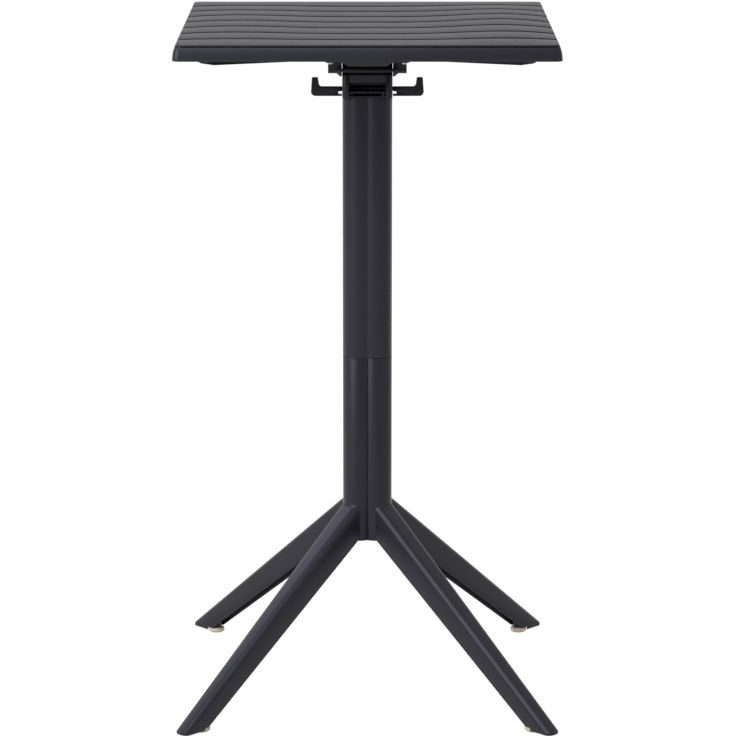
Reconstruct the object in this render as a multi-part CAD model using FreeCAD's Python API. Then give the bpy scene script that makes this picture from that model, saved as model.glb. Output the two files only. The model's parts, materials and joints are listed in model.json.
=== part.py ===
import FreeCAD, Part
import math
import os

from FreeCAD import Vector

# A tip-up bar table. A square slatted top turns on a pin in the head of a lobed column,
# and the lower column is four quarter mouldings, each in one piece with its splayed leg.
# Millimetres. The origin is on the floor under the column's axis, +Z up, +Y to the back.

# Top: its height is that of the straight edges, which the slats' wave rises above
TABLE_HEIGHT = 1080.0
TOP_SIDE = 582.0
TOP_DRAFT = 5.0
TOP_CORNER_R = 11.0
SKIRT_DEPTH = 24.5
SKIRT_WALL = 4.0
DECK_WALL = 4.0
SLAT_COUNT = 8
SLAT_GAP = 12.0
SLAT_RISE = 5.5
SLAT_EDGE_R = 0.8
SLAT_CURVE_SPANS = 16
SHADOW_LIFT = 1.5
SHADOW_HEIGHT = 2.0
SHADOW_DEPTH = 3.5
WAVE_CREST_X = 205.0
WAVE_RISE = 4.3
WAVE_MIDDLE_DROP = 4.3
WAVE_FLATNESS = 2.1
WAVE_FADE = 0.75

# Ribs and hub under the top
GRID_RIB_WALL = 3.0
GRID_RIB_DEPTH = 9.0
GRID_RIB_PITCH = 95.0
BEAM_WIDTH = 26.0
BEAM_WALL = 4.0
BEAM_TIP_REACH = 340.0
BEAM_END_RUN = 20.0
BEAM_TIP_R = 10.0
BEAM_TIP_DROP = 10.5
BEAM_ROOT_LIFT = 0.5
BEAM_TIE_PITCH = 60.0
HUB_DROP = 51.5
HUB_MARGIN = 2.0
HUB_WALL = 4.0
HUB_BOSS_R = 8.5

# Hinge bracket, screwed up against the hub
PLATE_HALF_X = 66.0
PLATE_FRONT = 60.0
PLATE_BACK = 42.0
PLATE_THICKNESS = 5.0
PLATE_CORNER_R = 8.0
LIP_HALF_X = 38.0
LIP_SLANT = 8.0
LIP_DROP = 4.6
LIP_WALL = 4.0
PIVOT_DROP = 15.5
PIVOT_FORWARD = 30.0
LUG_GAP = 0.6
LUG_LENGTH = 21.5
LUG_EYE_R = 4.6
LUG_BOSS_R = 9.7
LUG_BOSS_LENGTH = 2.5
LUG_CONE_LENGTH = 6.0
PIN_R = 2.5
RUNNING_GAP = 0.05
PIN_CAP_R = 3.4
PIN_CAP_THICKNESS = 2.0

# Column head
HEAD_HEIGHT = 57.5
HEAD_OVERHANG = 0.3
HEAD_CORNER_R = 6.0
HEAD_WALL = 5.0
HEAD_FLOOR = 2.5
HEAD_TOP_WALL = 5.2
REST_GAP = 0.3
BARREL_R = 6.1
BARREL_SEAT = 0.4
BARREL_BACKING = 16.0
FLANGE_WIDTH = 11.0
FLANGE_FOOT_WIDTH = 5.0
FLANGE_FOOT_DROP = 3.5
PANEL_RECESS = 2.0
WINDOW_TOP = 23.2
LEDGE_HEIGHT = 2.5
LEDGE_ARCH = 1.4
LEDGE_ARCH_R = 260.0
CROSSBAR_HEIGHT = 3.0
CROSSBAR_LIFT = 6.5
CROSSBAR_RECESS = 3.0

# Release bar, bag hooks and spring catch
SHAFT_R = 3.0
SHAFT_LIFT = 8.5
SHAFT_BACK = 4.0
CAM_R = 5.5
CAM_WIDTH = 18.0
FINGER_THICKNESS = 5.0
ROLL_PIN_R = 1.0
HOOK_GAP = 0.8
HOOK_REACH = 49.2
HOOK_DEPTH = 10.0
HOOK_ARM_HEIGHT = 14.8
HOOK_ARM_BELOW = 11.3
HOOK_TIP_RISE = 14.5
HOOK_TIP_WIDTH = 9.5
HOOK_TIP_LEAN = 2.0
HOOK_SLOT_LENGTH = 5.5
HOOK_SLOT_LIFT = 2.8
HOOK_SLOT_HEIGHT = 4.8
HOOK_OUTER_R = 7.0
HOOK_INNER_R = 5.0
HOOK_EDGE_R = 1.5
HOOK_GRIP = 22.0
CATCH_BACK = 17.0
CATCH_THICKNESS = 1.5
CATCH_WIDTH = 24.0
CATCH_TAB = 13.0
CATCH_NOSE = 4.5
CATCH_NOSE_HEIGHT = 6.0
CATCH_TAIL = 38.0
CATCH_SLOT_GAP = 2.0
RIVET_SPACING = 14.0
RIVET_R = 2.0
RIVET_HEAD_R = 3.4
RIVET_HEAD_HEIGHT = 1.6

# Column
COLUMN_WIDTH = 78.4
VALLEY_DEPTH = 3.8
COLUMN_WALL = 4.0
SEAM_Z = 546.5
SEAM_REVEAL = 0.9
COLUMN_WEB = 6.0
COLUMN_WEB_DROP = 40.0
COLUMN_BOSS_R = 5.0
COLUMN_BOSS_DEPTH = 30.0
COUPLER_LENGTH = 100.0
COUPLER_WALL = 3.2
SLIDE_GAP = 0.3

# Legs
HUB_BOTTOM = 245.0
QUARTER_GAP = 0.2
QUARTER_GROOVE_R = 0.8
HUB_EDGE_R = 1.5
LEG_ROOT_REACH = 100.0
LEG_ROOT_LIFT = 56.60911
LEG_ROOT_DEPTH = 55.5
LEG_ROOT_WIDTH = 36.4
LEG_REACH = 413.0
LEG_END_Z = 9.5
LEG_END_DEPTH = 37.2
LEG_END_WIDTH = 26.6
LEG_CORNER_R = 11.5
LEG_WALL = 3.6
LEG_TOE_CLEARANCE = 4.0
LEG_TOE_R = 11.0
LEG_SHOULDER_R = 8.0
LEG_RIB_PITCH = 35.0
LEG_RIB_WALL = 2.5
LEG_RIB_LIFT = 9.0
LEG_FLOOR = 8.0
LEG_FLOOR_LIFT = 17.0
COUPLER_SHELF = 6.0
COUPLER_SHELF_WIDTH = 5.0

# Base clamp, tie rod and levelling feet
HUB_PLATE_THICKNESS = 5.0
HUB_SCREW_RING = 15.0
HUB_SCREW_BOSS_R = 5.5
HUB_SCREW_BOSS_HEIGHT = 10.0
TIE_ROD_R = 4.0
TIE_ROD_HOLE_GAP = 0.4
WASHER_R = 9.0
WASHER_THICKNESS = 1.6
NUT_FLATS = 13.0
NUT_HEIGHT = 6.8
TIE_ROD_OVERRUN = 3.0
GLIDE_INSET = 46.0
GLIDE_R = 13.5
GLIDE_HEIGHT = 8.5
GLIDE_CHAMFER = 1.5
GLIDE_FLUTES = 18
GLIDE_FLUTE_R = 1.5
GLIDE_SEAT_GAP = 0.3
GLIDE_SIDE_GAP = 1.7
STEM_R = 4.0
STEM_LENGTH = 28.0
STEM_EMBED = 4.0
INSERT_R = 6.0
INSERT_LENGTH = 16.0
FOOT_BOSS_R = 9.0

# Screws
SCREW_R = 2.5
SCREW_HEAD_R = 4.5
SCREW_HEAD_HEIGHT = 3.0
SCREW_HOLE_GAP = 0.05
SCREW_BITE = 15.0
SCREW_TIP_ROOM = 2.0
OVERLAP = 1.0
FAR = 2000.0
TINY = 1e-6

# Heights and reaches that follow from the sizes above
SKIRT_Z = TABLE_HEIGHT - SKIRT_DEPTH
DECK_TOP = TABLE_HEIGHT - SLAT_RISE
DECK_BOTTOM = DECK_TOP - DECK_WALL
PLATE_TOP = TABLE_HEIGHT - HUB_DROP
PLATE_Z = PLATE_TOP - PLATE_THICKNESS
PIVOT_Z = PLATE_Z - PIVOT_DROP
PIVOT_Y = -PIVOT_FORWARD
COLUMN_TOP = PLATE_Z - HEAD_HEIGHT
SHAFT_Z = COLUMN_TOP + SHAFT_LIFT
LEG_FLOOR_Z = HUB_BOTTOM + LEG_FLOOR_LIFT
COLUMN_WEB_Z = COLUMN_TOP - COLUMN_WEB_DROP
GLIDE_SEAT_Z = GLIDE_HEIGHT + GLIDE_SEAT_GAP
GLIDE_REACH = LEG_REACH - GLIDE_INSET

# The four-lobed section: circles of LOBE_R at LOBE_C from both axes meet in the valleys
COLUMN_HALF = COLUMN_WIDTH / 2
VALLEY = COLUMN_HALF - VALLEY_DEPTH
LOBE_C = math.sqrt(2 * COLUMN_HALF * VALLEY_DEPTH) - VALLEY_DEPTH
LOBE_R = COLUMN_HALF - LOBE_C
LOBE_REACH = LOBE_C * math.sqrt(2)
COLUMN_REACH = LOBE_REACH + LOBE_R
BORE_R = VALLEY - COLUMN_WALL
HEAD_HALF = COLUMN_HALF + HEAD_OVERHANG
HEAD_BOSS_AT = (COLUMN_REACH - COLUMN_WALL - COLUMN_BOSS_R + OVERLAP) / math.sqrt(2)
LUG_INNER_X = HEAD_HALF + LUG_GAP
HOOK_INNER_X = HEAD_HALF + HOOK_GAP
LEG_ROOT_Z = HUB_BOTTOM + LEG_ROOT_LIFT
LEG_SLOPE = (LEG_ROOT_Z - LEG_END_Z) / (LEG_REACH - COLUMN_REACH)

CORNERS = {
    "front_right": (1, -1),
    "rear_right": (1, 1),
    "rear_left": (-1, 1),
    "front_left": (-1, -1),
}


# Helpers

def box(x, y, z):
    return Part.makeBox(x[1] - x[0], y[1] - y[0], z[1] - z[0], Vector(x[0], y[0], z[0]))


def rod(radius, start, end):
    start, end = Vector(*start), Vector(*end)
    return Part.makeCylinder(radius, (end - start).Length, start, end - start)


def upright(radius, x, y, z):
    return rod(radius, (x, y, z[0]), (x, y, z[1]))


def crosswise(radius, y, z, x):
    return rod(radius, (x[0], y, z), (x[1], y, z))


def on_floor(z):
    return lambda u, v: Vector(u, v, z)


def on_side(x):
    return lambda u, v: Vector(x, u, v)


def on_front(y):
    return lambda u, v: Vector(u, y, v)


def outline(points, place):
    """Closed wire through (u, v) or (u, v, radius) corners; a radius rounds its corner."""
    edges = []
    ends = []
    count = len(points)
    for i, point in enumerate(points):
        here = Vector(point[0], point[1], 0)
        before = Vector(points[i - 1][0], points[i - 1][1], 0) - here
        after = Vector(points[(i + 1) % count][0], points[(i + 1) % count][1], 0) - here
        radius = point[2] if len(point) > 2 else 0
        if radius == 0:
            ends.append((here, here, None))
            continue
        half = before.getAngle(after) / 2
        before.normalize()
        after.normalize()
        run = radius / math.tan(half)
        inward = (before + after).normalize()
        middle = here + inward * (radius / math.sin(half) - radius)
        ends.append((here + before * run, here + after * run, middle))
    for i, (arrive, leave, middle) in enumerate(ends):
        if middle is not None:
            edges.append(Part.Arc(*[place(p.x, p.y) for p in (arrive, middle, leave)]).toShape())
        following = ends[(i + 1) % count][0]
        if (following - leave).Length > TINY:
            run = Part.LineSegment(place(leave.x, leave.y), place(following.x, following.y))
            edges.append(run.toShape())
    return Part.Wire(edges)


def slab(points, place, along):
    return Part.Face(outline(points, place)).extrude(Vector(*along))


def join(shapes):
    return shapes[0].multiFuse(shapes[1:]).removeSplitter()


def turned(shape, degrees):
    return shape.rotated(Vector(0, 0, 0), Vector(0, 0, 1), degrees)


def both_sides(shape):
    return [shape, shape.mirror(Vector(0, 0, 0), Vector(1, 0, 0))]


def square(half, radius):
    return [(half, half, radius), (-half, half, radius), (-half, -half, radius), (half, -half, radius)]


def screw(x, y, seat_z, up, length):
    """Pan-head screw whose head seats at seat_z and whose shank points up or down."""
    shank = upright(SCREW_R, x, y, sorted((seat_z, seat_z + up * length)))
    head = upright(SCREW_HEAD_R, x, y, sorted((seat_z, seat_z - up * SCREW_HEAD_HEIGHT)))
    return shank.fuse(head).removeSplitter()


def screw_hole(x, y, z):
    return upright(SCREW_R + SCREW_HOLE_GAP, x, y, z)


# Table top

def top_block(low, high, inset):
    """Drafted block with the top's plan, set in from the skirt's outer faces."""
    wires = []
    for z in (low, high):
        half = TOP_SIDE / 2 - TOP_DRAFT * (z - SKIRT_Z) / SKIRT_DEPTH - inset
        wires.append(outline(square(half, TOP_CORNER_R - inset), on_floor(z)))
    return Part.makeLoft(wires, True, True)


def wave_height(x):
    """How far the slats' wave stands above the straight edges: a crest near each end, dished between."""
    beyond = abs(x) - WAVE_CREST_X
    if beyond < 0:
        swing = (1 - math.cos(math.pi * x / WAVE_CREST_X)) / 2
        return WAVE_RISE - WAVE_MIDDLE_DROP * (1 - swing ** WAVE_FLATNESS)
    return WAVE_RISE * (1 - (beyond / (TOP_SIDE / 2 - TOP_DRAFT - WAVE_CREST_X)) ** 2)


def slat_section(y):
    """Upright section along a slat at y, under a crown whose wave fades towards the front and back edges."""
    share = max(0, math.cos(math.pi * y / (TOP_SIDE - 2 * TOP_DRAFT))) ** WAVE_FADE
    half = TOP_SIDE / 2
    xs = [half * (2 * i / SLAT_CURVE_SPANS - 1) for i in range(SLAT_CURVE_SPANS + 1)]
    crown = Part.BSplineCurve()
    crown.interpolate([Vector(x, y, TABLE_HEIGHT + share * wave_height(x)) for x in xs])
    lower = [Vector(half, y, DECK_BOTTOM), Vector(-half, y, DECK_BOTTOM)]
    rim = [crown.EndPoint] + lower + [crown.StartPoint]
    return Part.Wire([crown.toShape()] + Part.makePolygon(rim).Edges)


def slat(index, outer):
    pitch = (TOP_SIDE - 2 * TOP_DRAFT + SLAT_GAP) / SLAT_COUNT
    middle = (index + 0.5 - SLAT_COUNT / 2) * pitch
    front = middle - (pitch - SLAT_GAP) / 2 if index > 0 else -TOP_SIDE / 2
    back = middle + (pitch - SLAT_GAP) / 2 if index < SLAT_COUNT - 1 else TOP_SIDE / 2
    plank = Part.makeLoft([slat_section(front), slat_section(back)], True, True).common(outer)
    crest = max(plank.Faces, key=lambda face: face.CenterOfMass.z)
    return plank.makeFillet(SLAT_EDGE_R, crest.Edges)


def beam_line(reach):
    """Lower edge of a diagonal beam, sinking from its tip towards the hub."""
    tip_z = SKIRT_Z - BEAM_TIP_DROP
    root_z = PLATE_TOP + BEAM_ROOT_LIFT
    return root_z + (tip_z - root_z) * (reach - PLATE_HALF_X) / (BEAM_TIP_REACH - PLATE_HALF_X)


def diagonal_beam():
    """Twin walls with ties and a closed end, along +X."""
    start, end = PLATE_BACK, BEAM_TIP_REACH + BEAM_END_RUN
    roof = DECK_BOTTOM + OVERLAP
    root_z = beam_line(PLATE_HALF_X)
    tip = (BEAM_TIP_REACH, beam_line(BEAM_TIP_REACH), BEAM_TIP_R)
    profile = [(start, roof), (start, root_z), (PLATE_HALF_X, root_z), tip, (end, SKIRT_Z), (end, roof)]
    inner = BEAM_TIP_REACH - BEAM_WALL
    cap = [(inner, beam_line(inner)), tip, (end, SKIRT_Z), (end, roof), (end - BEAM_WALL, roof),
           (end - BEAM_WALL, SKIRT_Z)]
    half = BEAM_WIDTH / 2
    web = slab(profile, on_front(-half), (0, BEAM_WALL, 0))
    pieces = [web, web.translated(Vector(0, BEAM_WIDTH - BEAM_WALL, 0))]
    pieces.append(slab(cap, on_front(-half), (0, BEAM_WIDTH, 0)))
    reach = PLATE_HALF_X + BEAM_TIE_PITCH
    while reach < inner:
        pieces.append(box((reach, reach + BEAM_WALL), (-half, half), (beam_line(reach) + BEAM_WALL, roof)))
        reach += BEAM_TIE_PITCH
    return pieces


def bracket_screw_places():
    aside = PLATE_HALF_X - HUB_BOSS_R
    rows = (HUB_BOSS_R - PLATE_FRONT, PLATE_BACK - HUB_BOSS_R)
    return [(side * aside, y) for side in (-1, 1) for y in rows]


def top_hub():
    """Wall round the hinge bracket's plate, with a screw boss in each corner."""
    outer_x = PLATE_HALF_X + HUB_MARGIN
    front, back = -PLATE_FRONT - HUB_MARGIN, PLATE_BACK + HUB_MARGIN
    tall = (PLATE_TOP, DECK_BOTTOM + OVERLAP)
    ring = box((-outer_x, outer_x), (front, back), tall)
    hollow = box((HUB_WALL - outer_x, outer_x - HUB_WALL), (front + HUB_WALL, back - HUB_WALL), tall)
    bosses = [upright(HUB_BOSS_R, x, y, tall) for x, y in bracket_screw_places()]
    return [ring.cut(hollow)] + bosses


def shadow_gaps():
    """Fine slot under the front and back slats, between them and the skirt."""
    z = (DECK_TOP + SHADOW_LIFT, DECK_TOP + SHADOW_LIFT + SHADOW_HEIGHT)
    edge = TOP_SIDE / 2 - TOP_DRAFT * (z[1] - SKIRT_Z) / SKIRT_DEPTH - SHADOW_DEPTH
    front = box((-TOP_SIDE, TOP_SIDE), (-TOP_SIDE, -edge), z)
    return [front, front.mirror(Vector(0, 0, 0), Vector(0, 1, 0))]


def table_top():
    outer = top_block(SKIRT_Z, TABLE_HEIGHT + WAVE_RISE + OVERLAP, 0)
    tray = top_block(SKIRT_Z, DECK_TOP, 0).cut(top_block(SKIRT_Z - OVERLAP, DECK_BOTTOM, SKIRT_WALL))
    pieces = [tray] + [slat(i, outer) for i in range(SLAT_COUNT)]
    half = TOP_SIDE / 2 - TOP_DRAFT - SKIRT_WALL / 2
    rows = int(half / GRID_RIB_PITCH)
    low = DECK_BOTTOM - GRID_RIB_DEPTH
    for row in range(-rows, rows + 1):
        middle = row * GRID_RIB_PITCH
        span = (middle - GRID_RIB_WALL / 2, middle + GRID_RIB_WALL / 2)
        pieces.append(box(span, (-half, half), (low, DECK_BOTTOM + OVERLAP)))
        pieces.append(box((-half, half), span, (low, DECK_BOTTOM + OVERLAP)))
    beam = diagonal_beam()
    for corner in range(4):
        pieces += [turned(piece, 45 + 90 * corner) for piece in beam]
    top = join(pieces + top_hub())
    depth = (PLATE_TOP - OVERLAP, PLATE_TOP + SCREW_BITE + SCREW_TIP_ROOM)
    return top.cut([screw_hole(x, y, depth) for x, y in bracket_screw_places()] + shadow_gaps())


# Hinge bracket, its pin and its fasteners

def rivet_places():
    return [(side * RIVET_SPACING / 2, CATCH_BACK + CATCH_TAB / 2 + CATCH_THICKNESS) for side in (-1, 1)]


def lug():
    """One eye with its web, on the right of the head."""
    inner, outer = LUG_INNER_X, LUG_INNER_X + LUG_LENGTH
    cone_start = inner + LUG_BOSS_LENGTH
    boss = crosswise(LUG_BOSS_R, PIVOT_Y, PIVOT_Z, (inner, cone_start))
    cone = Part.makeCone(LUG_BOSS_R, LUG_EYE_R, LUG_CONE_LENGTH, Vector(cone_start, PIVOT_Y, PIVOT_Z),
                         Vector(1, 0, 0))
    eye = crosswise(LUG_EYE_R, PIVOT_Y, PIVOT_Z, (inner, outer))
    web = box((inner, outer), (PIVOT_Y - LUG_EYE_R, PIVOT_Y + LUG_EYE_R), (PIVOT_Z, PLATE_Z + OVERLAP))
    return [boss, cone, eye, web]


def hinge_bracket():
    plan = [(PLATE_HALF_X, PLATE_BACK, PLATE_CORNER_R), (-PLATE_HALF_X, PLATE_BACK, PLATE_CORNER_R),
            (-PLATE_HALF_X, -PLATE_FRONT, PLATE_CORNER_R), (PLATE_HALF_X, -PLATE_FRONT, PLATE_CORNER_R)]
    plate = slab(plan, on_floor(PLATE_Z), (0, 0, PLATE_THICKNESS))
    lugs = [side for piece in lug() for side in both_sides(piece)]
    lip_low = LIP_HALF_X - LIP_SLANT
    lip_plan = [(LIP_HALF_X, PLATE_TOP), (-LIP_HALF_X, PLATE_TOP), (-LIP_HALF_X, PLATE_Z),
                (-lip_low, PLATE_Z - LIP_DROP, LIP_SLANT), (lip_low, PLATE_Z - LIP_DROP, LIP_SLANT),
                (LIP_HALF_X, PLATE_Z)]
    lip = slab(lip_plan, on_front(-PLATE_FRONT), (0, LIP_WALL, 0))
    through = (PLATE_Z - OVERLAP, PLATE_TOP + OVERLAP)
    holes = [screw_hole(x, y, through) for x, y in bracket_screw_places()]
    holes += [upright(RIVET_R, x, y, through) for x, y in rivet_places()]
    outer = LUG_INNER_X + LUG_LENGTH
    holes.append(crosswise(PIN_R + RUNNING_GAP, PIVOT_Y, PIVOT_Z, (-outer - OVERLAP, outer + OVERLAP)))
    cap_x = (outer - PIN_CAP_THICKNESS - SLIDE_GAP, outer + OVERLAP)
    holes += both_sides(crosswise(PIN_CAP_R + SLIDE_GAP, PIVOT_Y, PIVOT_Z, cap_x))
    return join([plate, lip] + lugs).cut(holes)


def bracket_screws():
    length = PLATE_THICKNESS + SCREW_BITE
    return Part.makeCompound([screw(x, y, PLATE_Z, 1, length) for x, y in bracket_screw_places()])


def hinge_pin():
    reach = LUG_INNER_X + LUG_LENGTH - PIN_CAP_THICKNESS
    return crosswise(PIN_R, PIVOT_Y, PIVOT_Z, (-reach, reach))


def pin_caps():
    outer = LUG_INNER_X + LUG_LENGTH
    cap = crosswise(PIN_CAP_R, PIVOT_Y, PIVOT_Z, (outer - PIN_CAP_THICKNESS, outer))
    return Part.makeCompound(both_sides(cap))


# Spring catch

def catch_spring():
    """Bent strip: tab under the plate, a nose hooked under the head's top wall, and a tail."""
    front = CATCH_BACK
    back = CATCH_BACK + CATCH_THICKNESS
    nose_top = PLATE_Z - REST_GAP - HEAD_TOP_WALL - REST_GAP
    nose_low = nose_top - CATCH_NOSE_HEIGHT
    flat = CATCH_THICKNESS
    tail_z = PLATE_Z - CATCH_TAIL
    tip = front - CATCH_NOSE
    profile = [
        (back + CATCH_TAB, PLATE_Z), (front, PLATE_Z), (front, nose_top), (tip, nose_top),
        (tip, nose_top - flat), (front, nose_low), (front, tail_z), (back, tail_z),
        (back, nose_low), (tip + flat, nose_top - flat), (back, nose_top - flat),
        (back, PLATE_Z - flat), (back + CATCH_TAB, PLATE_Z - flat),
    ]
    strip = slab(profile, on_side(-CATCH_WIDTH / 2), (CATCH_WIDTH, 0, 0))
    through = (PLATE_Z - flat - OVERLAP, PLATE_Z + OVERLAP)
    return strip.cut([upright(RIVET_R, x, y, through) for x, y in rivet_places()])


def catch_rivets():
    rivets = []
    head_top = PLATE_Z - CATCH_THICKNESS
    for x, y in rivet_places():
        shank = upright(RIVET_R, x, y, (head_top, PLATE_TOP))
        head = upright(RIVET_HEAD_R, x, y, (head_top - RIVET_HEAD_HEIGHT, head_top))
        rivets.append(shank.fuse(head).removeSplitter())
    return Part.makeCompound(rivets)


# Column head

def head_screw_places():
    return [(x * HEAD_BOSS_AT, y * HEAD_BOSS_AT) for x, y in CORNERS.values()]


def lobe_front(x):
    """How far the column's front face lies from its middle plane at x."""
    return LOBE_C + math.sqrt(LOBE_R ** 2 - (x - LOBE_C) ** 2)


def column_head():
    half = HEAD_HALF
    rest_z = PLATE_Z - REST_GAP
    rest_front = PIVOT_Y + BARREL_BACKING
    seat_z = PIVOT_Z - BARREL_R - BARREL_SEAT
    profile = [(-half, COLUMN_TOP), (half, COLUMN_TOP), (half, rest_z), (rest_front, rest_z),
               (PIVOT_Y, PIVOT_Z), (PIVOT_Y, seat_z), (-half, seat_z)]
    block = slab(profile, on_side(-half), (2 * half, 0, 0))
    barrel = crosswise(BARREL_R, PIVOT_Y, PIVOT_Z, (-half, half))
    foot_z = COLUMN_TOP - FLANGE_FOOT_DROP
    plan = slab(square(half, HEAD_CORNER_R), on_floor(foot_z), (0, 0, HEAD_HEIGHT + FLANGE_FOOT_DROP))
    head = join([block, barrel]).common(plan)

    inner = half - HEAD_WALL
    floor_z = COLUMN_TOP + HEAD_FLOOR
    panel_z = COLUMN_TOP + WINDOW_TOP
    roof_z = rest_z - HEAD_TOP_WALL
    barrel_low = PIVOT_Z - BARREL_R - HEAD_WALL
    window_x = half - FLANGE_WIDTH
    recess_z = (panel_z, seat_z + OVERLAP)
    slot_x = CATCH_WIDTH / 2 + CATCH_SLOT_GAP
    slot_y = (CATCH_BACK - CATCH_THICKNESS, inner)
    bore_x = (-half - OVERLAP, half + OVERLAP)
    cuts = [
        box((-inner, inner), (-inner, inner), (floor_z, barrel_low)),
        box((-inner, inner), (rest_front, inner), (floor_z, roof_z)),
        box((-window_x, window_x), (-half - OVERLAP, -half + PANEL_RECESS), recess_z),
        box((-window_x, window_x), (-half - OVERLAP, -inner + OVERLAP), (floor_z, panel_z)),
        box((-slot_x, slot_x), slot_y, (roof_z - OVERLAP, rest_z + OVERLAP)),
        crosswise(PIN_R, PIVOT_Y, PIVOT_Z, bore_x),
        crosswise(SHAFT_R + RUNNING_GAP, SHAFT_BACK, SHAFT_Z, bore_x),
    ]
    cuts += [screw_hole(x, y, (COLUMN_TOP - OVERLAP, floor_z + OVERLAP)) for x, y in head_screw_places()]

    bar_z = COLUMN_TOP + CROSSBAR_LIFT
    foot_plan = [(window_x, COLUMN_TOP + OVERLAP), (window_x, foot_z), (window_x + FLANGE_FOOT_WIDTH, foot_z),
                 (half, COLUMN_TOP), (half, COLUMN_TOP + OVERLAP)]
    foot_depth = half - lobe_front(window_x) - SLIDE_GAP
    foot = slab(foot_plan, on_front(-half), (0, foot_depth, 0)).common(plan)
    ledge_z = panel_z - LEDGE_HEIGHT
    ledge = [(window_x, ledge_z), (window_x, panel_z - LEDGE_ARCH), (0, panel_z, LEDGE_ARCH_R),
             (-window_x, panel_z - LEDGE_ARCH), (-window_x, ledge_z)]
    ledge_front = PANEL_RECESS / 2 - half
    details = [
        slab(ledge, on_front(ledge_front), (0, -inner - ledge_front, 0)),
        box((-inner, inner), (-half + CROSSBAR_RECESS, -inner), (bar_z, bar_z + CROSSBAR_HEIGHT)),
    ]
    feet = both_sides(foot) + both_sides(foot.mirror(Vector(0, 0, 0), Vector(0, 1, 0)))
    return join([head.cut(cuts)] + details + feet)


def head_screws():
    seat = COLUMN_TOP + HEAD_FLOOR
    length = HEAD_FLOOR + SCREW_BITE
    return Part.makeCompound([screw(x, y, seat, -1, length) for x, y in head_screw_places()])


# Release bar with a bag hook on each end

def roll_pin_places():
    aside = HOOK_INNER_X + HOOK_GRIP / 2
    return [-aside, 0, aside]


def roll_pin_holes():
    z = (SHAFT_Z - HOOK_ARM_BELOW + 2 * ROLL_PIN_R, SHAFT_Z + SHAFT_R)
    return [upright(ROLL_PIN_R, x, SHAFT_BACK, z) for x in roll_pin_places()]


def release_pins():
    reach = {0: CAM_R}
    pins = []
    for x in roll_pin_places():
        low = SHAFT_Z - reach.get(x, HOOK_ARM_BELOW - 2 * ROLL_PIN_R)
        pins.append(upright(ROLL_PIN_R, x, SHAFT_BACK, (low, SHAFT_Z + SHAFT_R)))
    return Part.makeCompound(pins)


def release_shaft():
    reach = HOOK_INNER_X + HOOK_GRIP
    return crosswise(SHAFT_R, SHAFT_BACK, SHAFT_Z, (-reach, reach)).cut(roll_pin_holes())


def release_cam():
    """Collar on the bar with a finger that ends just short of the catch's tail."""
    half = CAM_WIDTH / 2
    collar = crosswise(CAM_R, SHAFT_BACK, SHAFT_Z, (-half, half))
    tip_y = CATCH_BACK - SLIDE_GAP
    tip_z = PLATE_Z - CATCH_TAIL + FINGER_THICKNESS
    blunt = FINGER_THICKNESS / 2
    profile = [(SHAFT_BACK, SHAFT_Z - CAM_R / 2), (tip_y, tip_z - blunt), (tip_y, tip_z),
               (tip_y - blunt, tip_z), (SHAFT_BACK - CAM_R / 2, SHAFT_Z + CAM_R / 2)]
    finger = slab(profile, on_side(-half), (CAM_WIDTH, 0, 0))
    bore = crosswise(SHAFT_R, SHAFT_BACK, SHAFT_Z, (-half - OVERLAP, half + OVERLAP))
    return join([collar, finger]).cut([bore] + roll_pin_holes())


def bag_hook():
    """Right-hand hook: a flat arm on the bar with an upturned end and a slot at its root."""
    inner = HOOK_INNER_X
    outer = inner + HOOK_REACH
    low = SHAFT_Z - HOOK_ARM_BELOW
    arm = low + HOOK_ARM_HEIGHT
    tip = arm + HOOK_TIP_RISE
    tip_outer = outer - HOOK_TIP_LEAN
    tip_inner = tip_outer - HOOK_TIP_WIDTH
    profile = [(inner, low), (outer, low, HOOK_OUTER_R), (tip_outer, tip, HOOK_EDGE_R),
               (tip_inner, tip, HOOK_EDGE_R), (tip_inner - HOOK_TIP_LEAN, arm, HOOK_INNER_R), (inner, arm)]
    front = SHAFT_BACK - HOOK_DEPTH / 2
    hook = slab(profile, on_front(front), (0, HOOK_DEPTH, 0))
    boxes = [(edge, edge.BoundBox) for edge in hook.Edges]
    rims = [edge for edge, room in boxes if room.YLength < HOOK_EDGE_R and room.XMax > inner + OVERLAP]
    hook = hook.makeFillet(HOOK_EDGE_R, rims)
    bore = crosswise(SHAFT_R, SHAFT_BACK, SHAFT_Z, (inner - OVERLAP, inner + HOOK_GRIP))
    slot_z = low + HOOK_SLOT_LIFT
    slot = box((inner - OVERLAP, inner + HOOK_SLOT_LENGTH), (-HOOK_DEPTH, 2 * HOOK_DEPTH),
               (slot_z, slot_z + HOOK_SLOT_HEIGHT))
    return hook.cut([bore, slot] + roll_pin_holes())


# Column

def lobed(half, low, high):
    """Prism of the four-lobed section, its lobes on the diagonals."""
    valley = half - VALLEY_DEPTH
    lobe_c = math.sqrt(2 * half * VALLEY_DEPTH) - VALLEY_DEPTH
    peak = lobe_c + (half - lobe_c) / math.sqrt(2)
    arcs = []
    for quarter in range(4):
        points = [Vector(valley, 0, low), Vector(peak, peak, low), Vector(0, valley, low)]
        arcs.append(turned(Part.Arc(*points).toShape(), 90 * quarter))
    return Part.Face(Part.Wire(arcs)).extrude(Vector(0, 0, high - low))


def column_bores(low, high):
    lobes = [upright(LOBE_R - COLUMN_WALL, x * LOBE_C, y * LOBE_C, (low, high)) for x, y in CORNERS.values()]
    return join([upright(BORE_R, 0, 0, (low, high))] + lobes)


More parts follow.
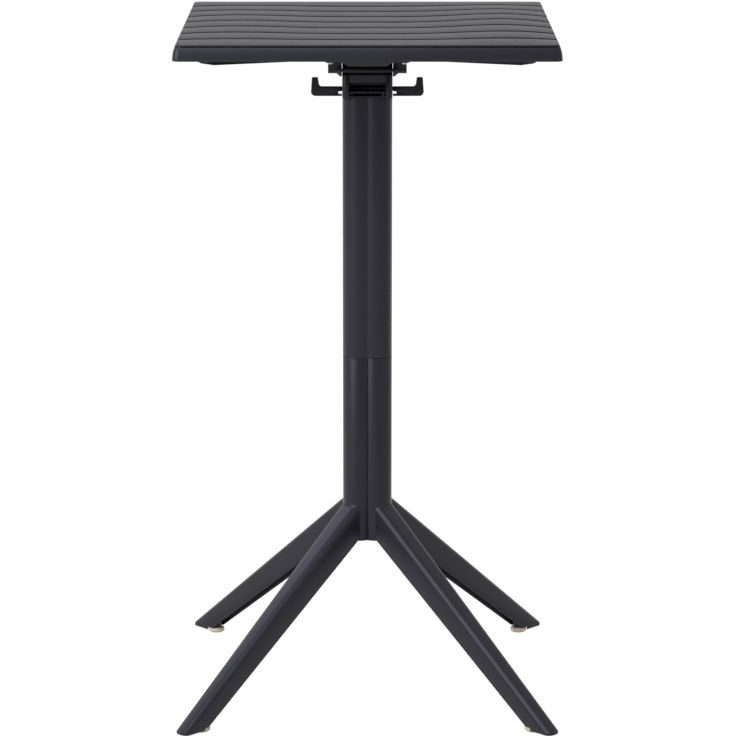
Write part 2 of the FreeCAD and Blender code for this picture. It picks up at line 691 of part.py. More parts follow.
def upper_column():
    tube = lobed(COLUMN_HALF, SEAM_Z, COLUMN_TOP).cut(column_bores(SEAM_Z - OVERLAP, COLUMN_TOP + OVERLAP))
    reveal = lobed(COLUMN_HALF + OVERLAP, SEAM_Z, SEAM_Z + SEAM_REVEAL)
    reveal = reveal.cut(lobed(COLUMN_HALF - SEAM_REVEAL, SEAM_Z, SEAM_Z + SEAM_REVEAL))
    web = lobed(COLUMN_HALF - COLUMN_WALL / 2, COLUMN_WEB_Z, COLUMN_WEB_Z + COLUMN_WEB)
    boss_z = (COLUMN_TOP - COLUMN_BOSS_DEPTH, COLUMN_TOP)
    bosses = [upright(COLUMN_BOSS_R, x, y, boss_z).common(lobed(COLUMN_HALF, *boss_z))
              for x, y in head_screw_places()]
    column = join([tube.cut(reveal), web] + bosses)
    hole_z = (COLUMN_TOP - SCREW_BITE - SCREW_TIP_ROOM, COLUMN_TOP + OVERLAP)
    holes = [screw_hole(x, y, hole_z) for x, y in head_screw_places()]
    web_z = (COLUMN_WEB_Z - OVERLAP, COLUMN_WEB_Z + COLUMN_WEB + OVERLAP)
    return column.cut(holes + [upright(TIE_ROD_R + TIE_ROD_HOLE_GAP, 0, 0, web_z)])


def column_coupler():
    outer = BORE_R - SLIDE_GAP
    z = (SEAM_Z - COUPLER_LENGTH / 2, SEAM_Z + COUPLER_LENGTH / 2)
    return upright(outer, 0, 0, z).cut(upright(outer - COUPLER_WALL, 0, 0, z))


# Legs, each built along +X and then turned to its corner

def along_leg(root, end, reach):
    """A size that changes evenly from the leg's root to its end."""
    return root + (end - root) * (reach - LEG_ROOT_REACH) / (LEG_REACH - LEG_ROOT_REACH)


def leg_top(reach):
    """Height of the leg's upper side, which leaves the column at a fixed lift above the hub's bottom."""
    return LEG_ROOT_Z - LEG_SLOPE * (reach - COLUMN_REACH)


def leg_rim(reach):
    return leg_top(reach) - along_leg(LEG_ROOT_DEPTH, LEG_END_DEPTH, reach)


def leg_width(reach):
    return along_leg(LEG_ROOT_WIDTH, LEG_END_WIDTH, reach)


def leg_beam(start, end, inset, below):
    """Tapering beam with a rounded top, set in by a wall and reaching below the rim."""
    wires = []
    corner = LEG_CORNER_R - inset
    for reach in (start, end):
        half = leg_width(reach) / 2 - inset
        top = leg_top(reach) - inset * math.hypot(1, LEG_SLOPE)
        low = leg_rim(reach) - below
        section = [(-half, low), (-half, top, corner), (half, top, corner), (half, low)]
        wires.append(outline(section, on_side(reach)))
    return Part.makeLoft(wires, True, True)


def quarter_wedge():
    """The quarter of the plan that belongs to one leg."""
    start = QUARTER_GAP / math.sqrt(2)
    return slab([(start, 0), (FAR, FAR - start), (FAR, start - FAR)], on_floor(-FAR), (0, 0, 2 * FAR))


def on_lobe(edge):
    """Whether an edge lies on the lobe that a leg along +X grows out of."""
    samples = 7
    apart = [math.hypot(p.x - LOBE_REACH, p.y) - LOBE_R for p in edge.discretize(samples)]
    return max(abs(gap) for gap in apart) < RUNNING_GAP


def leg_shell():
    """Outer shape of one quarter column with its leg, rounded where they meet."""
    wedge = quarter_wedge()
    quarter = turned(lobed(COLUMN_HALF, HUB_BOTTOM, SEAM_Z), 45).common(wedge)
    hub_edge = [edge for edge in quarter.Edges if on_lobe(edge) and edge.BoundBox.ZMax < HUB_BOTTOM + OVERLAP]
    quarter = quarter.makeFillet(HUB_EDGE_R, hub_edge)
    root, end = leg_width(0) / 2 + OVERLAP, leg_width(LEG_REACH) / 2 + OVERLAP
    plan = [(0, -root), (LEG_REACH, -end, LEG_TOE_R), (LEG_REACH, end, LEG_TOE_R), (0, root)]
    above_toe = slab(plan, on_floor(LEG_TOE_CLEARANCE), (0, 0, SEAM_Z - LEG_TOE_CLEARANCE))
    beam = leg_beam(LOBE_REACH, LEG_REACH + LEG_CORNER_R, 0, 0).common(above_toe).common(wedge)
    shell = join([quarter, beam])
    boxes = [(edge, edge.BoundBox) for edge in shell.Edges if on_lobe(edge)]
    low, high = HUB_BOTTOM + HUB_EDGE_R + OVERLAP, SEAM_Z - OVERLAP
    shoulder = [edge for edge, room in boxes if room.ZMin > low and room.ZMax < high]
    return shell.makeFillet(LEG_SHOULDER_R, shoulder)


def leg_hollow():
    """Channel under the leg, less its cross ribs."""
    start = COLUMN_REACH + OVERLAP
    end = GLIDE_REACH + GLIDE_R + GLIDE_SIDE_GAP + 2 * LEG_WALL
    channel = leg_beam(start, end, LEG_WALL, HUB_BOTTOM)
    ribs = []
    reach = start + LEG_RIB_PITCH
    while reach < GLIDE_REACH - GLIDE_R:
        low = leg_rim(reach) + LEG_RIB_LIFT
        ribs.append(box((reach, reach + LEG_RIB_WALL), (-FAR, FAR), (low, FAR)))
        reach += LEG_RIB_PITCH
    return channel.cut(ribs)


def leg():
    bore_z = (HUB_BOTTOM - OVERLAP, SEAM_Z + OVERLAP)
    bores = turned(column_bores(*bore_z), 45)
    groove_at = VALLEY / math.sqrt(2)
    grooves = [upright(QUARTER_GROOVE_R, groove_at, side * groove_at, bore_z) for side in (-1, 1)]
    shell = leg_shell().cut([bores, leg_hollow()] + grooves)

    wedge = quarter_wedge()
    shelf_z = SEAM_Z - COUPLER_LENGTH / 2
    inside = turned(lobed(COLUMN_HALF - COLUMN_WALL / 2, HUB_BOTTOM, SEAM_Z), 45).common(wedge)
    floor_z = (LEG_FLOOR_Z, LEG_FLOOR_Z + LEG_FLOOR)
    ring_z = (shelf_z - COUPLER_SHELF, shelf_z)
    floor = box((-FAR, FAR), (-FAR, FAR), floor_z).common(inside)
    shelf = box((-FAR, FAR), (-FAR, FAR), ring_z).common(inside)
    shelf = shelf.cut(upright(BORE_R - COUPLER_SHELF_WIDTH, 0, 0, ring_z))
    boss_z = (LEG_FLOOR_Z, LEG_FLOOR_Z + LEG_FLOOR + HUB_SCREW_BOSS_HEIGHT)
    screw_boss = upright(HUB_SCREW_BOSS_R, HUB_SCREW_RING, 0, boss_z)
    foot_boss = upright(FOOT_BOSS_R, GLIDE_REACH, 0, (GLIDE_SEAT_Z, leg_top(GLIDE_REACH)))
    roof = leg_beam(LOBE_REACH, LEG_REACH, LEG_WALL / 2, HUB_BOTTOM)
    solid = join([shell, floor, shelf, screw_boss, foot_boss.common(roof)])

    insert_top = GLIDE_SEAT_Z + INSERT_LENGTH
    stem_top = GLIDE_HEIGHT - STEM_EMBED + STEM_LENGTH
    cuts = [
        upright(TIE_ROD_R + TIE_ROD_HOLE_GAP, 0, 0, floor_z),
        screw_hole(HUB_SCREW_RING, 0, (LEG_FLOOR_Z - OVERLAP, LEG_FLOOR_Z + SCREW_BITE + SCREW_TIP_ROOM)),
        upright(GLIDE_R + GLIDE_SIDE_GAP, GLIDE_REACH, 0, (-OVERLAP, GLIDE_SEAT_Z)),
        upright(INSERT_R, GLIDE_REACH, 0, (-OVERLAP, insert_top)),
        upright(STEM_R + TIE_ROD_HOLE_GAP, GLIDE_REACH, 0, (-OVERLAP, stem_top + SCREW_TIP_ROOM)),
    ]
    return solid.cut(cuts)


def corner_angle(name):
    x, y = CORNERS[name]
    return math.degrees(math.atan2(y, x))


# Base clamp and tie rod

def hub_screw_places():
    at = HUB_SCREW_RING / math.sqrt(2)
    return [(x * at, y * at) for x, y in CORNERS.values()]


def hub_plate():
    z = (LEG_FLOOR_Z - HUB_PLATE_THICKNESS, LEG_FLOOR_Z)
    holes = [screw_hole(x, y, z) for x, y in hub_screw_places()]
    return upright(BORE_R - SLIDE_GAP, 0, 0, z).cut(holes + [upright(TIE_ROD_R + TIE_ROD_HOLE_GAP, 0, 0, z)])


def hub_screws():
    seat = LEG_FLOOR_Z - HUB_PLATE_THICKNESS
    length = HUB_PLATE_THICKNESS + SCREW_BITE
    return Part.makeCompound([screw(x, y, seat, 1, length) for x, y in hub_screw_places()])


def clamp_stack():
    """Seats of the tie rod's two washers: (seat height, direction away from the clamped parts)."""
    return [(LEG_FLOOR_Z - HUB_PLATE_THICKNESS, -1), (COLUMN_WEB_Z + COLUMN_WEB, 1)]


def tie_rod():
    ends = [seat + away * (WASHER_THICKNESS + NUT_HEIGHT + TIE_ROD_OVERRUN) for seat, away in clamp_stack()]
    return upright(TIE_ROD_R, 0, 0, ends)


def tie_rod_washers():
    washers = []
    for seat, away in clamp_stack():
        z = sorted((seat, seat + away * WASHER_THICKNESS))
        washers.append(upright(WASHER_R, 0, 0, z).cut(upright(TIE_ROD_R + TIE_ROD_HOLE_GAP, 0, 0, z)))
    return Part.makeCompound(washers)


def tie_rod_nuts():
    nuts = []
    across_corners = NUT_FLATS / math.sqrt(3)
    for seat, away in clamp_stack():
        start = seat + away * WASHER_THICKNESS
        low = min(start, start + away * NUT_HEIGHT)
        angles = [math.radians(60 * i) for i in range(6)]
        hexagon = [(across_corners * math.cos(a), across_corners * math.sin(a)) for a in angles]
        nut = slab(hexagon, on_floor(low), (0, 0, NUT_HEIGHT))
        nuts.append(nut.cut(upright(TIE_ROD_R + RUNNING_GAP, 0, 0, (low, low + NUT_HEIGHT))))
    return Part.makeCompound(nuts)


# Levelling feet, built under the leg along +X and then turned to a corner

def glide():
    """Round pad with a fluted rim."""
    straight = upright(GLIDE_R, GLIDE_REACH, 0, (GLIDE_CHAMFER, GLIDE_HEIGHT))
    bevel = Part.makeCone(GLIDE_R - GLIDE_CHAMFER, GLIDE_R, GLIDE_CHAMFER, Vector(GLIDE_REACH, 0, 0))
    cuts = []
    for i in range(GLIDE_FLUTES):
        angle = 2 * math.pi * i / GLIDE_FLUTES
        x = GLIDE_REACH + (GLIDE_R + GLIDE_FLUTE_R / 2) * math.cos(angle)
        y = (GLIDE_R + GLIDE_FLUTE_R / 2) * math.sin(angle)
        cuts.append(upright(GLIDE_FLUTE_R, x, y, (GLIDE_CHAMFER, GLIDE_HEIGHT)))
    cuts.append(upright(STEM_R, GLIDE_REACH, 0, (GLIDE_HEIGHT - STEM_EMBED, GLIDE_HEIGHT)))
    return straight.fuse(bevel).removeSplitter().cut(cuts)


def glide_stem():
    low = GLIDE_HEIGHT - STEM_EMBED
    return upright(STEM_R, GLIDE_REACH, 0, (low, low + STEM_LENGTH))


def foot_inserts():
    z = (GLIDE_SEAT_Z, GLIDE_SEAT_Z + INSERT_LENGTH)
    insert = upright(INSERT_R, GLIDE_REACH, 0, z).cut(upright(STEM_R + RUNNING_GAP, GLIDE_REACH, 0, z))
    return Part.makeCompound([turned(insert, corner_angle(name)) for name in CORNERS])


# The whole table, one file for each piece

def pieces():
    parts = {
        "table_top": table_top(),
        "hinge_bracket": hinge_bracket(),
        "bracket_screws": bracket_screws(),
        "hinge_pin": hinge_pin(),
        "pin_caps": pin_caps(),
        "catch_spring": catch_spring(),
        "catch_rivets": catch_rivets(),
        "column_head": column_head(),
        "head_screws": head_screws(),
        "release_shaft": release_shaft(),
        "release_cam": release_cam(),
        "release_pins": release_pins(),
        "upper_column": upper_column(),
        "column_coupler": column_coupler(),
        "hub_plate": hub_plate(),
        "hub_screws": hub_screws(),
        "tie_rod": tie_rod(),
        "tie_rod_washers": tie_rod_washers(),
        "tie_rod_nuts": tie_rod_nuts(),
        "foot_inserts": foot_inserts(),
    }
    parts["bag_hook_right"], parts["bag_hook_left"] = both_sides(bag_hook())
    one_leg, one_glide, one_stem = leg(), glide(), glide_stem()
    for name in CORNERS:
        angle = corner_angle(name)
        parts["leg_" + name] = turned(one_leg, angle)
        parts["glide_" + name] = turned(one_glide, angle)
        parts["glide_stem_" + name] = turned(one_stem, angle)
    return parts


os.makedirs("parts", exist_ok=True)
for node, shape in pieces().items():
    shape.exportStep("parts/" + node + ".step")
    state = "valid" if shape.isValid() else "BAD"
    print(node, len(shape.Solids), "solid", round(shape.Volume / 1000, 1), "cm3", state)
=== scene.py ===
# %% [markdown]
# A tip-up bar table
#
# The table is a moulded resin top on a four-lobed column with splayed legs. Its construction comes
# ready made as a fixed frame of named nodes, in metres, +Z up and +Y away from the viewer. This lesson
# gives every node its finish, and models the pieces whose looks need more than a plain solid.

# %% Load the frame
import json
import math

import bmesh
import bpy
from mathutils import Matrix, Vector


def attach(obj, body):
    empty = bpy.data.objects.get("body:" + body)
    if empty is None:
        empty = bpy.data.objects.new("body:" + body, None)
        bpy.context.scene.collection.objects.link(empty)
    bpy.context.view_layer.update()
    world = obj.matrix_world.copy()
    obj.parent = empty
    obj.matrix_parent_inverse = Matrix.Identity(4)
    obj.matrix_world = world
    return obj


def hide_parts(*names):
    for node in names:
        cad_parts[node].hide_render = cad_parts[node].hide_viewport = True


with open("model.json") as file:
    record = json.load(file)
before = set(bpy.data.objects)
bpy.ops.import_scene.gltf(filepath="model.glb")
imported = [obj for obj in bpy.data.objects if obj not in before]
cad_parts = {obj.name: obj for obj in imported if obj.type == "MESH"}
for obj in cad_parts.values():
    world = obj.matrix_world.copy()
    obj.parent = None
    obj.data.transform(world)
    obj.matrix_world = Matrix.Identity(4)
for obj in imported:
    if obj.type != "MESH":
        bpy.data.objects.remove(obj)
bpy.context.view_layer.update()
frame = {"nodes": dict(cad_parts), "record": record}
nodes = frame["nodes"]
scene = bpy.context.scene
scene.view_settings.view_transform = "Standard"
MM = 0.001

# %% [markdown]
# Camera
#
# The picture was taken from about eye height and five metres away with a long lens, so the upright
# column hardly converges while the square top still shows its far edge shorter than its near one.
# A camera could be matched by eye, but a lens and a pitch worked out from the corners of the top and
# the four feet leave nothing to guess.

# %% Camera
CAMERA_LENS = 159.99
CAMERA_AT = (0.0, -5.1286, 1.6925)
CAMERA_PITCH = 12.846
CAMERA_SHIFT = 0.00086

lens = bpy.data.cameras.new("camera")
lens.lens = CAMERA_LENS
lens.shift_x = CAMERA_SHIFT
camera = bpy.data.objects.new("camera", lens)
camera.location = CAMERA_AT
camera.rotation_euler = (math.radians(90 - CAMERA_PITCH), 0, 0)
scene.collection.objects.link(camera)
scene.camera = camera
print("camera", round(camera.location.length, 3), "m from the foot of the column")

# %% [markdown]
# Nodes written as expressions
#
# A material or a geometry tree is a graph of small nodes. Wiring each one by hand is long and hides
# the idea, so one class wraps a socket and turns Python's operators into Math nodes, and another adds
# any other kind of node from its type, its settings and its inputs.

# %% Graph and socket classes
MIX_LOW, MIX_HIGH, MIX_RESULT = 6, 7, 2


class Socket:
    """An output that takes part in arithmetic: each operator adds one Math node."""

    def __init__(self, graph, output):
        self.graph = graph
        self.output = output

    def __add__(self, other):
        return self.graph.math("ADD", self, other)

    def __sub__(self, other):
        return self.graph.math("SUBTRACT", self, other)

    def __rsub__(self, other):
        return self.graph.math("SUBTRACT", other, self)

    def __mul__(self, other):
        return self.graph.math("MULTIPLY", self, other)

    def __truediv__(self, other):
        return self.graph.math("DIVIDE", self, other)

    def __pow__(self, other):
        return self.graph.math("POWER", self, other)

    def __gt__(self, other):
        return self.graph.math("GREATER_THAN", self, other)

    def __abs__(self):
        return self.graph.math("ABSOLUTE", self)

    __radd__ = __add__
    __rmul__ = __mul__


class Graph:
    """A node tree, with one method that adds any node."""

    def __init__(self, tree):
        self.tree = tree

    def node(self, kind, settings=None, inputs=None):
        made = self.tree.nodes.new(kind)
        for name, value in (settings or {}).items():
            setattr(made, name, value)
        for name, value in (inputs or {}).items():
            self.feed(made.inputs[name], value)
        return made

    def out(self, kind, output, settings=None, inputs=None):
        return Socket(self, self.node(kind, settings, inputs).outputs[output])

    def feed(self, socket, value):
        if isinstance(value, Socket):
            self.tree.links.new(value.output, socket)
        else:
            socket.default_value = value

    def math(self, operation, *values):
        return self.out("ShaderNodeMath", 0, {"operation": operation}, dict(enumerate(values)))

    def noise(self, place, scale, detail=2.0, roughness=0.5):
        sockets = {"Vector": place, "Scale": scale, "Detail": detail, "Roughness": roughness}
        return self.out("ShaderNodeTexNoise", 0, None, sockets)

    def held(self, value, low, high):
        """The value, kept between two limits."""
        return self.math("MINIMUM", self.math("MAXIMUM", value, low), high)

    def mix(self, share, low, high):
        """A colour between two others, through the colour sockets of a Mix node."""
        sockets = {0: share, MIX_LOW: (*low, 1), MIX_HIGH: (*high, 1)}
        return self.out("ShaderNodeMix", MIX_RESULT, {"data_type": "RGBA"}, sockets)

    def stretched(self, place, scale):
        return self.out("ShaderNodeMapping", 0, None, {"Vector": place, "Scale": scale})

    def vector(self, x, y, z):
        return self.out("ShaderNodeCombineXYZ", 0, None, {"X": x, "Y": y, "Z": z})

    def parts(self, vector):
        split = self.node("ShaderNodeSeparateXYZ", None, {"Vector": vector})
        return [Socket(self, output) for output in split.outputs]

    def joined(self, *parts):
        whole = self.node("GeometryNodeJoinGeometry")
        for part in parts:
            self.feed(whole.inputs[0], part)
        return Socket(self, whole.outputs[0])


def new_finish(name):
    """A material with its graph and its Principled shader."""
    material = bpy.data.materials.new(name)
    material.use_nodes = True
    return material, Graph(material.node_tree), material.node_tree.nodes["Principled BSDF"].inputs


# %% [markdown]
# Studio
#
# The table stands in a bright white studio. The floor could simply be lit until it is white, but then
# the dark resin would be over-lit too. Instead the floor and the world show white to the camera and to
# reflections, a part of the floor still takes real light so that the feet keep a soft shadow, and four
# large soft lamps of a slightly cool white light the table at a plain level. A studio is darker on the
# camera's side, so the white that reflections see fades towards the front.

# %% Floor
FLOOR_HALF = 12.0
FLOOR_GLOW = 0.90
FLOOR_ALBEDO = 0.22


def seen_white(graph):
    """One for camera, glossy and transmission rays, else zero."""
    path = graph.node("ShaderNodeLightPath")
    rays = [Socket(graph, path.outputs[name])
            for name in ("Is Camera Ray", "Is Glossy Ray", "Is Transmission Ray")]
    return graph.math("MINIMUM", rays[0] + rays[1] + rays[2], 1.0)


def floor_finish():
    material, graph, _ = new_finish("studio floor")
    graph.tree.nodes.clear()
    glow = graph.out("ShaderNodeEmission", 0, None, {"Strength": seen_white(graph) * FLOOR_GLOW})
    matt = graph.out("ShaderNodeBsdfDiffuse", 0, None, {"Color": (FLOOR_ALBEDO,) * 3 + (1,)})
    both = graph.out("ShaderNodeAddShader", 0, None, {0: glow, 1: matt})
    graph.node("ShaderNodeOutputMaterial", None, {"Surface": both})
    return material


def studio_floor():
    mesh = bpy.data.meshes.new("floor")
    corners = [(x * FLOOR_HALF, y * FLOOR_HALF, 0) for x, y in ((-1, -1), (1, -1), (1, 1), (-1, 1))]
    mesh.from_pydata(corners, [], [(0, 1, 2, 3)])
    mesh.materials.append(floor_finish())
    floor = bpy.data.objects.new("floor", mesh)
    scene.collection.objects.link(floor)


studio_floor()
print("floor", 2 * FLOOR_HALF, "m across")

# %% World
AMBIENT = 0.55
FRONT_FADE = 0.85


def studio_world():
    """White to the camera, dimmer as light, and fading to the front in reflections."""
    world = bpy.data.worlds.new("studio")
    world.use_nodes = True
    graph = Graph(world.node_tree)
    background = world.node_tree.nodes["Background"].inputs
    background["Color"].default_value = (1, 1, 1, 1)
    glossy = graph.out("ShaderNodeLightPath", "Is Glossy Ray")
    direction = graph.parts(graph.out("ShaderNodeTexCoord", "Generated"))
    fade = graph.math("MAXIMUM", direction[1] * -FRONT_FADE, 0.0) * glossy
    graph.feed(background["Strength"], AMBIENT + (1 - AMBIENT) * seen_white(graph) - fade)
    return world


scene.world = studio_world()
print("world lights the table at", AMBIENT, "of white")

# %% Lamps
LAMPS = {
    # name: (place, size, watts, colour)
    "key behind on the left": ((-2.05, 1.3, 2.5), 1.9, 27.0, (0.80, 0.785, 1.0)),
    "left softbox": ((-2.4, -2.4, 2.0), 2.2, 125.0, (0.94, 0.94, 1.0)),
    "front softbox": ((-0.6, -2.2, 2.9), 1.4, 36.0, (0.94, 0.94, 1.0)),
    "right fill": ((2.7, -1.6, 1.5), 1.8, 6.0, (0.94, 0.94, 1.0)),
}
LAMP_AIM = Vector((0.0, 0.0, 0.62))

for name, (place, size, watts, colour) in LAMPS.items():
    lamp = bpy.data.lights.new(name, "AREA")
    lamp.size = size
    lamp.energy = watts
    lamp.color = colour
    holder = bpy.data.objects.new(name, lamp)
    holder.location = place
    holder.rotation_euler = (LAMP_AIM - holder.location).to_track_quat("-Z", "Y").to_euler()
    scene.collection.objects.link(holder)
print(len(LAMPS), "soft lamps")

# %% [markdown]
# Moulded plastics
#
# The resin of the top, column and legs comes out of a spark-eroded mould: a satin charcoal with a grain
# under a millimetre, faint flow clouds and a roughness that is never quite even. A flat colour would
# look like paint, so three noises at three scales drive colour, roughness and a fine bump. The treads
# are grained, the beams and the undersides of the legs are left rough, and the head and hooks are a
# blacker, duller nylon.

# %% Moulded plastics
COOL_SHEEN = (0.86, 0.855, 1.0, 1.0)
NOISE_MIDDLE = 0.5
CLOUD_SCALE = 9.0
CLOUD_SHARE = 0.4
SKIN_SHARE = 0.6
SKIN_ROUGHNESS = 0.12
STREAK_SCALE = (60.0, 60.0, 4.0)
STREAK_ROUGHNESS = 0.05
GRAIN_STRENGTH = 0.35


def moulded_plastic(name, colour, lighter, roughness, specular, grain, depth):
    """Plastic with mould grain of the given size and depth, in metres."""
    material, graph, shader = new_finish(name)
    place = graph.out("ShaderNodeTexCoord", "Object")
    clouds = graph.noise(place, CLOUD_SCALE, detail=3.0)
    skin = graph.noise(place, 1 / grain, detail=3.0, roughness=0.6)
    streaks = graph.noise(graph.stretched(place, STREAK_SCALE), 1.0)
    tone = clouds * CLOUD_SHARE + skin * SKIN_SHARE
    graph.feed(shader["Base Color"], graph.mix(tone, colour, lighter))
    graph.feed(shader["Roughness"], roughness + (skin - NOISE_MIDDLE) * SKIN_ROUGHNESS
               + (streaks - NOISE_MIDDLE) * STREAK_ROUGHNESS)
    graph.feed(shader["Normal"], graph.out("ShaderNodeBump", 0, None, {
        "Strength": GRAIN_STRENGTH, "Distance": depth, "Height": skin}))
    shader["Specular IOR Level"].default_value = specular
    shader["Specular Tint"].default_value = COOL_SHEEN
    return material


FINISHES = {
    "anthracite_resin": moulded_plastic(
        "anthracite resin", (0.0135, 0.0133, 0.0165), (0.020, 0.0197, 0.024),
        roughness=0.34, specular=0.20, grain=0.0008, depth=0.00008),
    "grained_resin": moulded_plastic(
        "grained resin", (0.016, 0.0158, 0.020), (0.026, 0.0255, 0.031),
        roughness=0.47, specular=0.21, grain=0.0009, depth=0.00012),
    "rough_resin": moulded_plastic(
        "rough resin", (0.034, 0.0337, 0.036), (0.048, 0.0475, 0.050),
        roughness=0.85, specular=0.05, grain=0.0012, depth=0.00015),
    # The same resin in a lighter grey: painted light for the apron, which hangs in the top's shade.
    "painted_light_resin": moulded_plastic(
        "worn resin", (0.10, 0.10, 0.10), (0.15, 0.15, 0.15),
        roughness=0.50, specular=0.25, grain=0.0009, depth=0.00010),
    "black_nylon": moulded_plastic(
        "black nylon", (0.006, 0.006, 0.0068), (0.011, 0.011, 0.0125),
        roughness=0.38, specular=0.28, grain=0.0006, depth=0.00010),
}
print(len(FINISHES), "moulded plastics")

# %% [markdown]
# Metals and natural nylon
#
# Screws, rods and stems are plated steel or turned brass. An even metal looks like chrome, so fine
# turning marks and patches of duller plating vary its roughness. The glides are natural nylon, pale,
# cloudy and a little translucent, with darker specks from the floor; a steep noise gives the specks.

# %% Metals
MARK_SCALE = (200.0, 200.0, 2400.0)
MARK_ROUGHNESS = 0.2
MARK_STRENGTH = 0.2
MARK_DEPTH = 0.0001
PATCH_SCALE = 220.0
PATCH_ROUGHNESS = 0.1


def plated_metal(name, colour, lighter, roughness):
    """Metal with fine turning marks and patches of duller plating."""
    material, graph, shader = new_finish(name)
    place = graph.out("ShaderNodeTexCoord", "Object")
    marks = graph.noise(graph.stretched(place, MARK_SCALE), 1.0)
    patches = graph.noise(place, PATCH_SCALE, detail=3.0)
    graph.feed(shader["Base Color"], graph.mix(patches, colour, lighter))
    graph.feed(shader["Roughness"],
               roughness + (marks - NOISE_MIDDLE) * MARK_ROUGHNESS + patches * PATCH_ROUGHNESS)
    graph.feed(shader["Normal"], graph.out("ShaderNodeBump", 0, None, {
        "Strength": MARK_STRENGTH, "Distance": MARK_DEPTH, "Height": marks}))
    shader["Metallic"].default_value = 1.0
    return material


FINISHES.update({
    "zinc_steel": plated_metal("zinc plate", (0.32, 0.31, 0.31), (0.45, 0.44, 0.43), roughness=0.36),
    "black_steel": plated_metal("black oxide", (0.030, 0.030, 0.033), (0.055, 0.055, 0.060),
                                roughness=0.38),
    "brass": plated_metal("turned brass", (0.56, 0.40, 0.16), (0.72, 0.55, 0.26), roughness=0.26),
})
print(len(FINISHES), "finishes with the metals")

# %% Natural nylon
NYLON_DARK = (0.40, 0.29, 0.19)
NYLON_PALE = (0.95, 0.80, 0.62)
NYLON_CLOUDS = 160.0
NYLON_ROUGHNESS = 0.34
NYLON_UNEVENNESS = 0.12
NYLON_TRANSLUCENCY = 0.25
NYLON_LIGHT_REACH = (0.004, 0.003, 0.002)
SPECK_SCALE = 700.0
SPECK_CONTRAST = 6.0
SPECK_CUT = 3.4
SPECK_DARKNESS = 0.9


def ivory_nylon():
    """Nylon that lets some light in, with clouds and dark specks."""
    material, graph, shader = new_finish("natural nylon")
    place = graph.out("ShaderNodeTexCoord", "Object")
    clouds = graph.noise(place, NYLON_CLOUDS, detail=3.0)
    specks = graph.held(graph.noise(place, SPECK_SCALE) * SPECK_CONTRAST - SPECK_CUT, 0.0, 1.0)
    tone = clouds * (1 - specks * SPECK_DARKNESS)
    graph.feed(shader["Base Color"], graph.mix(tone, NYLON_DARK, NYLON_PALE))
    graph.feed(shader["Roughness"], NYLON_ROUGHNESS + clouds * NYLON_UNEVENNESS)
    shader["Subsurface Weight"].default_value = NYLON_TRANSLUCENCY
    shader["Subsurface Radius"].default_value = NYLON_LIGHT_REACH
    return material


FINISHES["ivory_plastic"] = ivory_nylon()
node_slot = {part["node"]: part["material_slot"] for part in frame["record"]["subparts"]}
for node, slot in node_slot.items():
    nodes[node].data.materials.clear()
    nodes[node].data.materials.append(FINISHES[slot])
print(len(FINISHES), "finishes on", len(node_slot), "nodes")

# %% [markdown]
# Meshes from rings
#
# Mouldings are mostly stacks of outlines: the skirt is a rounded square that changes size with height,
# the column a four-lobed outline, a screw a circle. They could be subdivided boxes, but rings put every
# edge where the drawing has it. The rings are drawn in millimetres and the finished mesh is scaled once.

# %% Rings, stacks and finished pieces
SHARP_EDGE = math.radians(32)
WELD = 0.001
ARC_STEPS = 6


def rounded(corners, steps=ARC_STEPS):
    """Closed outline through (u, v, radius) corners, where a radius turns its corner into an arc."""
    outline = []
    for i, (u, v, radius) in enumerate(corners):
        here = Vector((u, v))
        if radius == 0:
            outline.append(here)
            continue
        before = (Vector(corners[i - 1][:2]) - here).normalized()
        after = (Vector(corners[(i + 1) % len(corners)][:2]) - here).normalized()
        half = before.angle(after) / 2
        centre = here + (before + after).normalized() * (radius / math.sin(half))
        start = here + before * (radius / math.tan(half)) - centre
        end = here + after * (radius / math.tan(half)) - centre
        turn = -start.angle_signed(end)
        outline += [centre + Matrix.Rotation(turn * k / steps, 2) @ start for k in range(steps + 1)]
    return outline


def circle(radius, count, x=0.0, y=0.0):
    angles = [2 * math.pi * i / count for i in range(count)]
    return [Vector((x + radius * math.cos(a), y + radius * math.sin(a))) for a in angles]


def at_height(outline, z):
    return [(u, v, z) for u, v in outline]


def add_stack(build, rings, joined=False):
    """Quads between rings of equally many points, capped at both ends or joined into a hollow ring."""
    loops = [[build.verts.new(point) for point in ring] for ring in rings]
    pairs = list(zip(loops, loops[1:]))
    if joined:
        pairs.append((loops[-1], loops[0]))
    else:
        build.faces.new(loops[0])
        build.faces.new(loops[-1])
    for low, high in pairs:
        for i in range(len(low)):
            build.faces.new((low[i - 1], low[i], high[i], high[i - 1]))


def smoothed(mesh):
    mesh.shade_smooth()
    mesh.set_sharp_from_angle(angle=SHARP_EDGE)
    return mesh


def to_mesh(name, build):
    """Mesh in metres from one drawn in millimetres, with its faces pointing outwards."""
    bmesh.ops.remove_doubles(build, verts=build.verts, dist=WELD)
    bmesh.ops.recalc_face_normals(build, faces=build.faces)
    bmesh.ops.scale(build, vec=(MM, MM, MM), verts=build.verts)
    mesh = bpy.data.meshes.new(name)
    build.to_mesh(mesh)
    build.free()
    return smoothed(mesh)


def stacked_mesh(name, *stacks):
    build = bmesh.new()
    for rings in stacks:
        add_stack(build, rings)
    return to_mesh(name, build)


def finish_piece(name, mesh, body, slot, *replaced, finish=None):
    """Make the piece's object, with a finish if it has none yet, its body and the nodes it stands for."""
    if not mesh.materials:
        mesh.materials.append(FINISHES[finish or slot])
    piece = bpy.data.objects.new(name, mesh)
    scene.collection.objects.link(piece)
    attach(piece, body)
    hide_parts(*replaced)
    low, high = ([round(pick(vertex.co[i] for vertex in mesh.vertices), 4) for i in range(3)]
                 for pick in (min, max))
    print(name, len(mesh.polygons), "faces from", low, "to", high)


# %% [markdown]
# Geometry trees
#
# What repeats is made by Geometry Nodes: a small blank is modelled once and a tree sets out its copies.
# The tree's sizes are named inputs, so the same tree serves several pieces. Its result is frozen into a
# plain mesh, because a piece that leaves the scene can't take its modifier along.

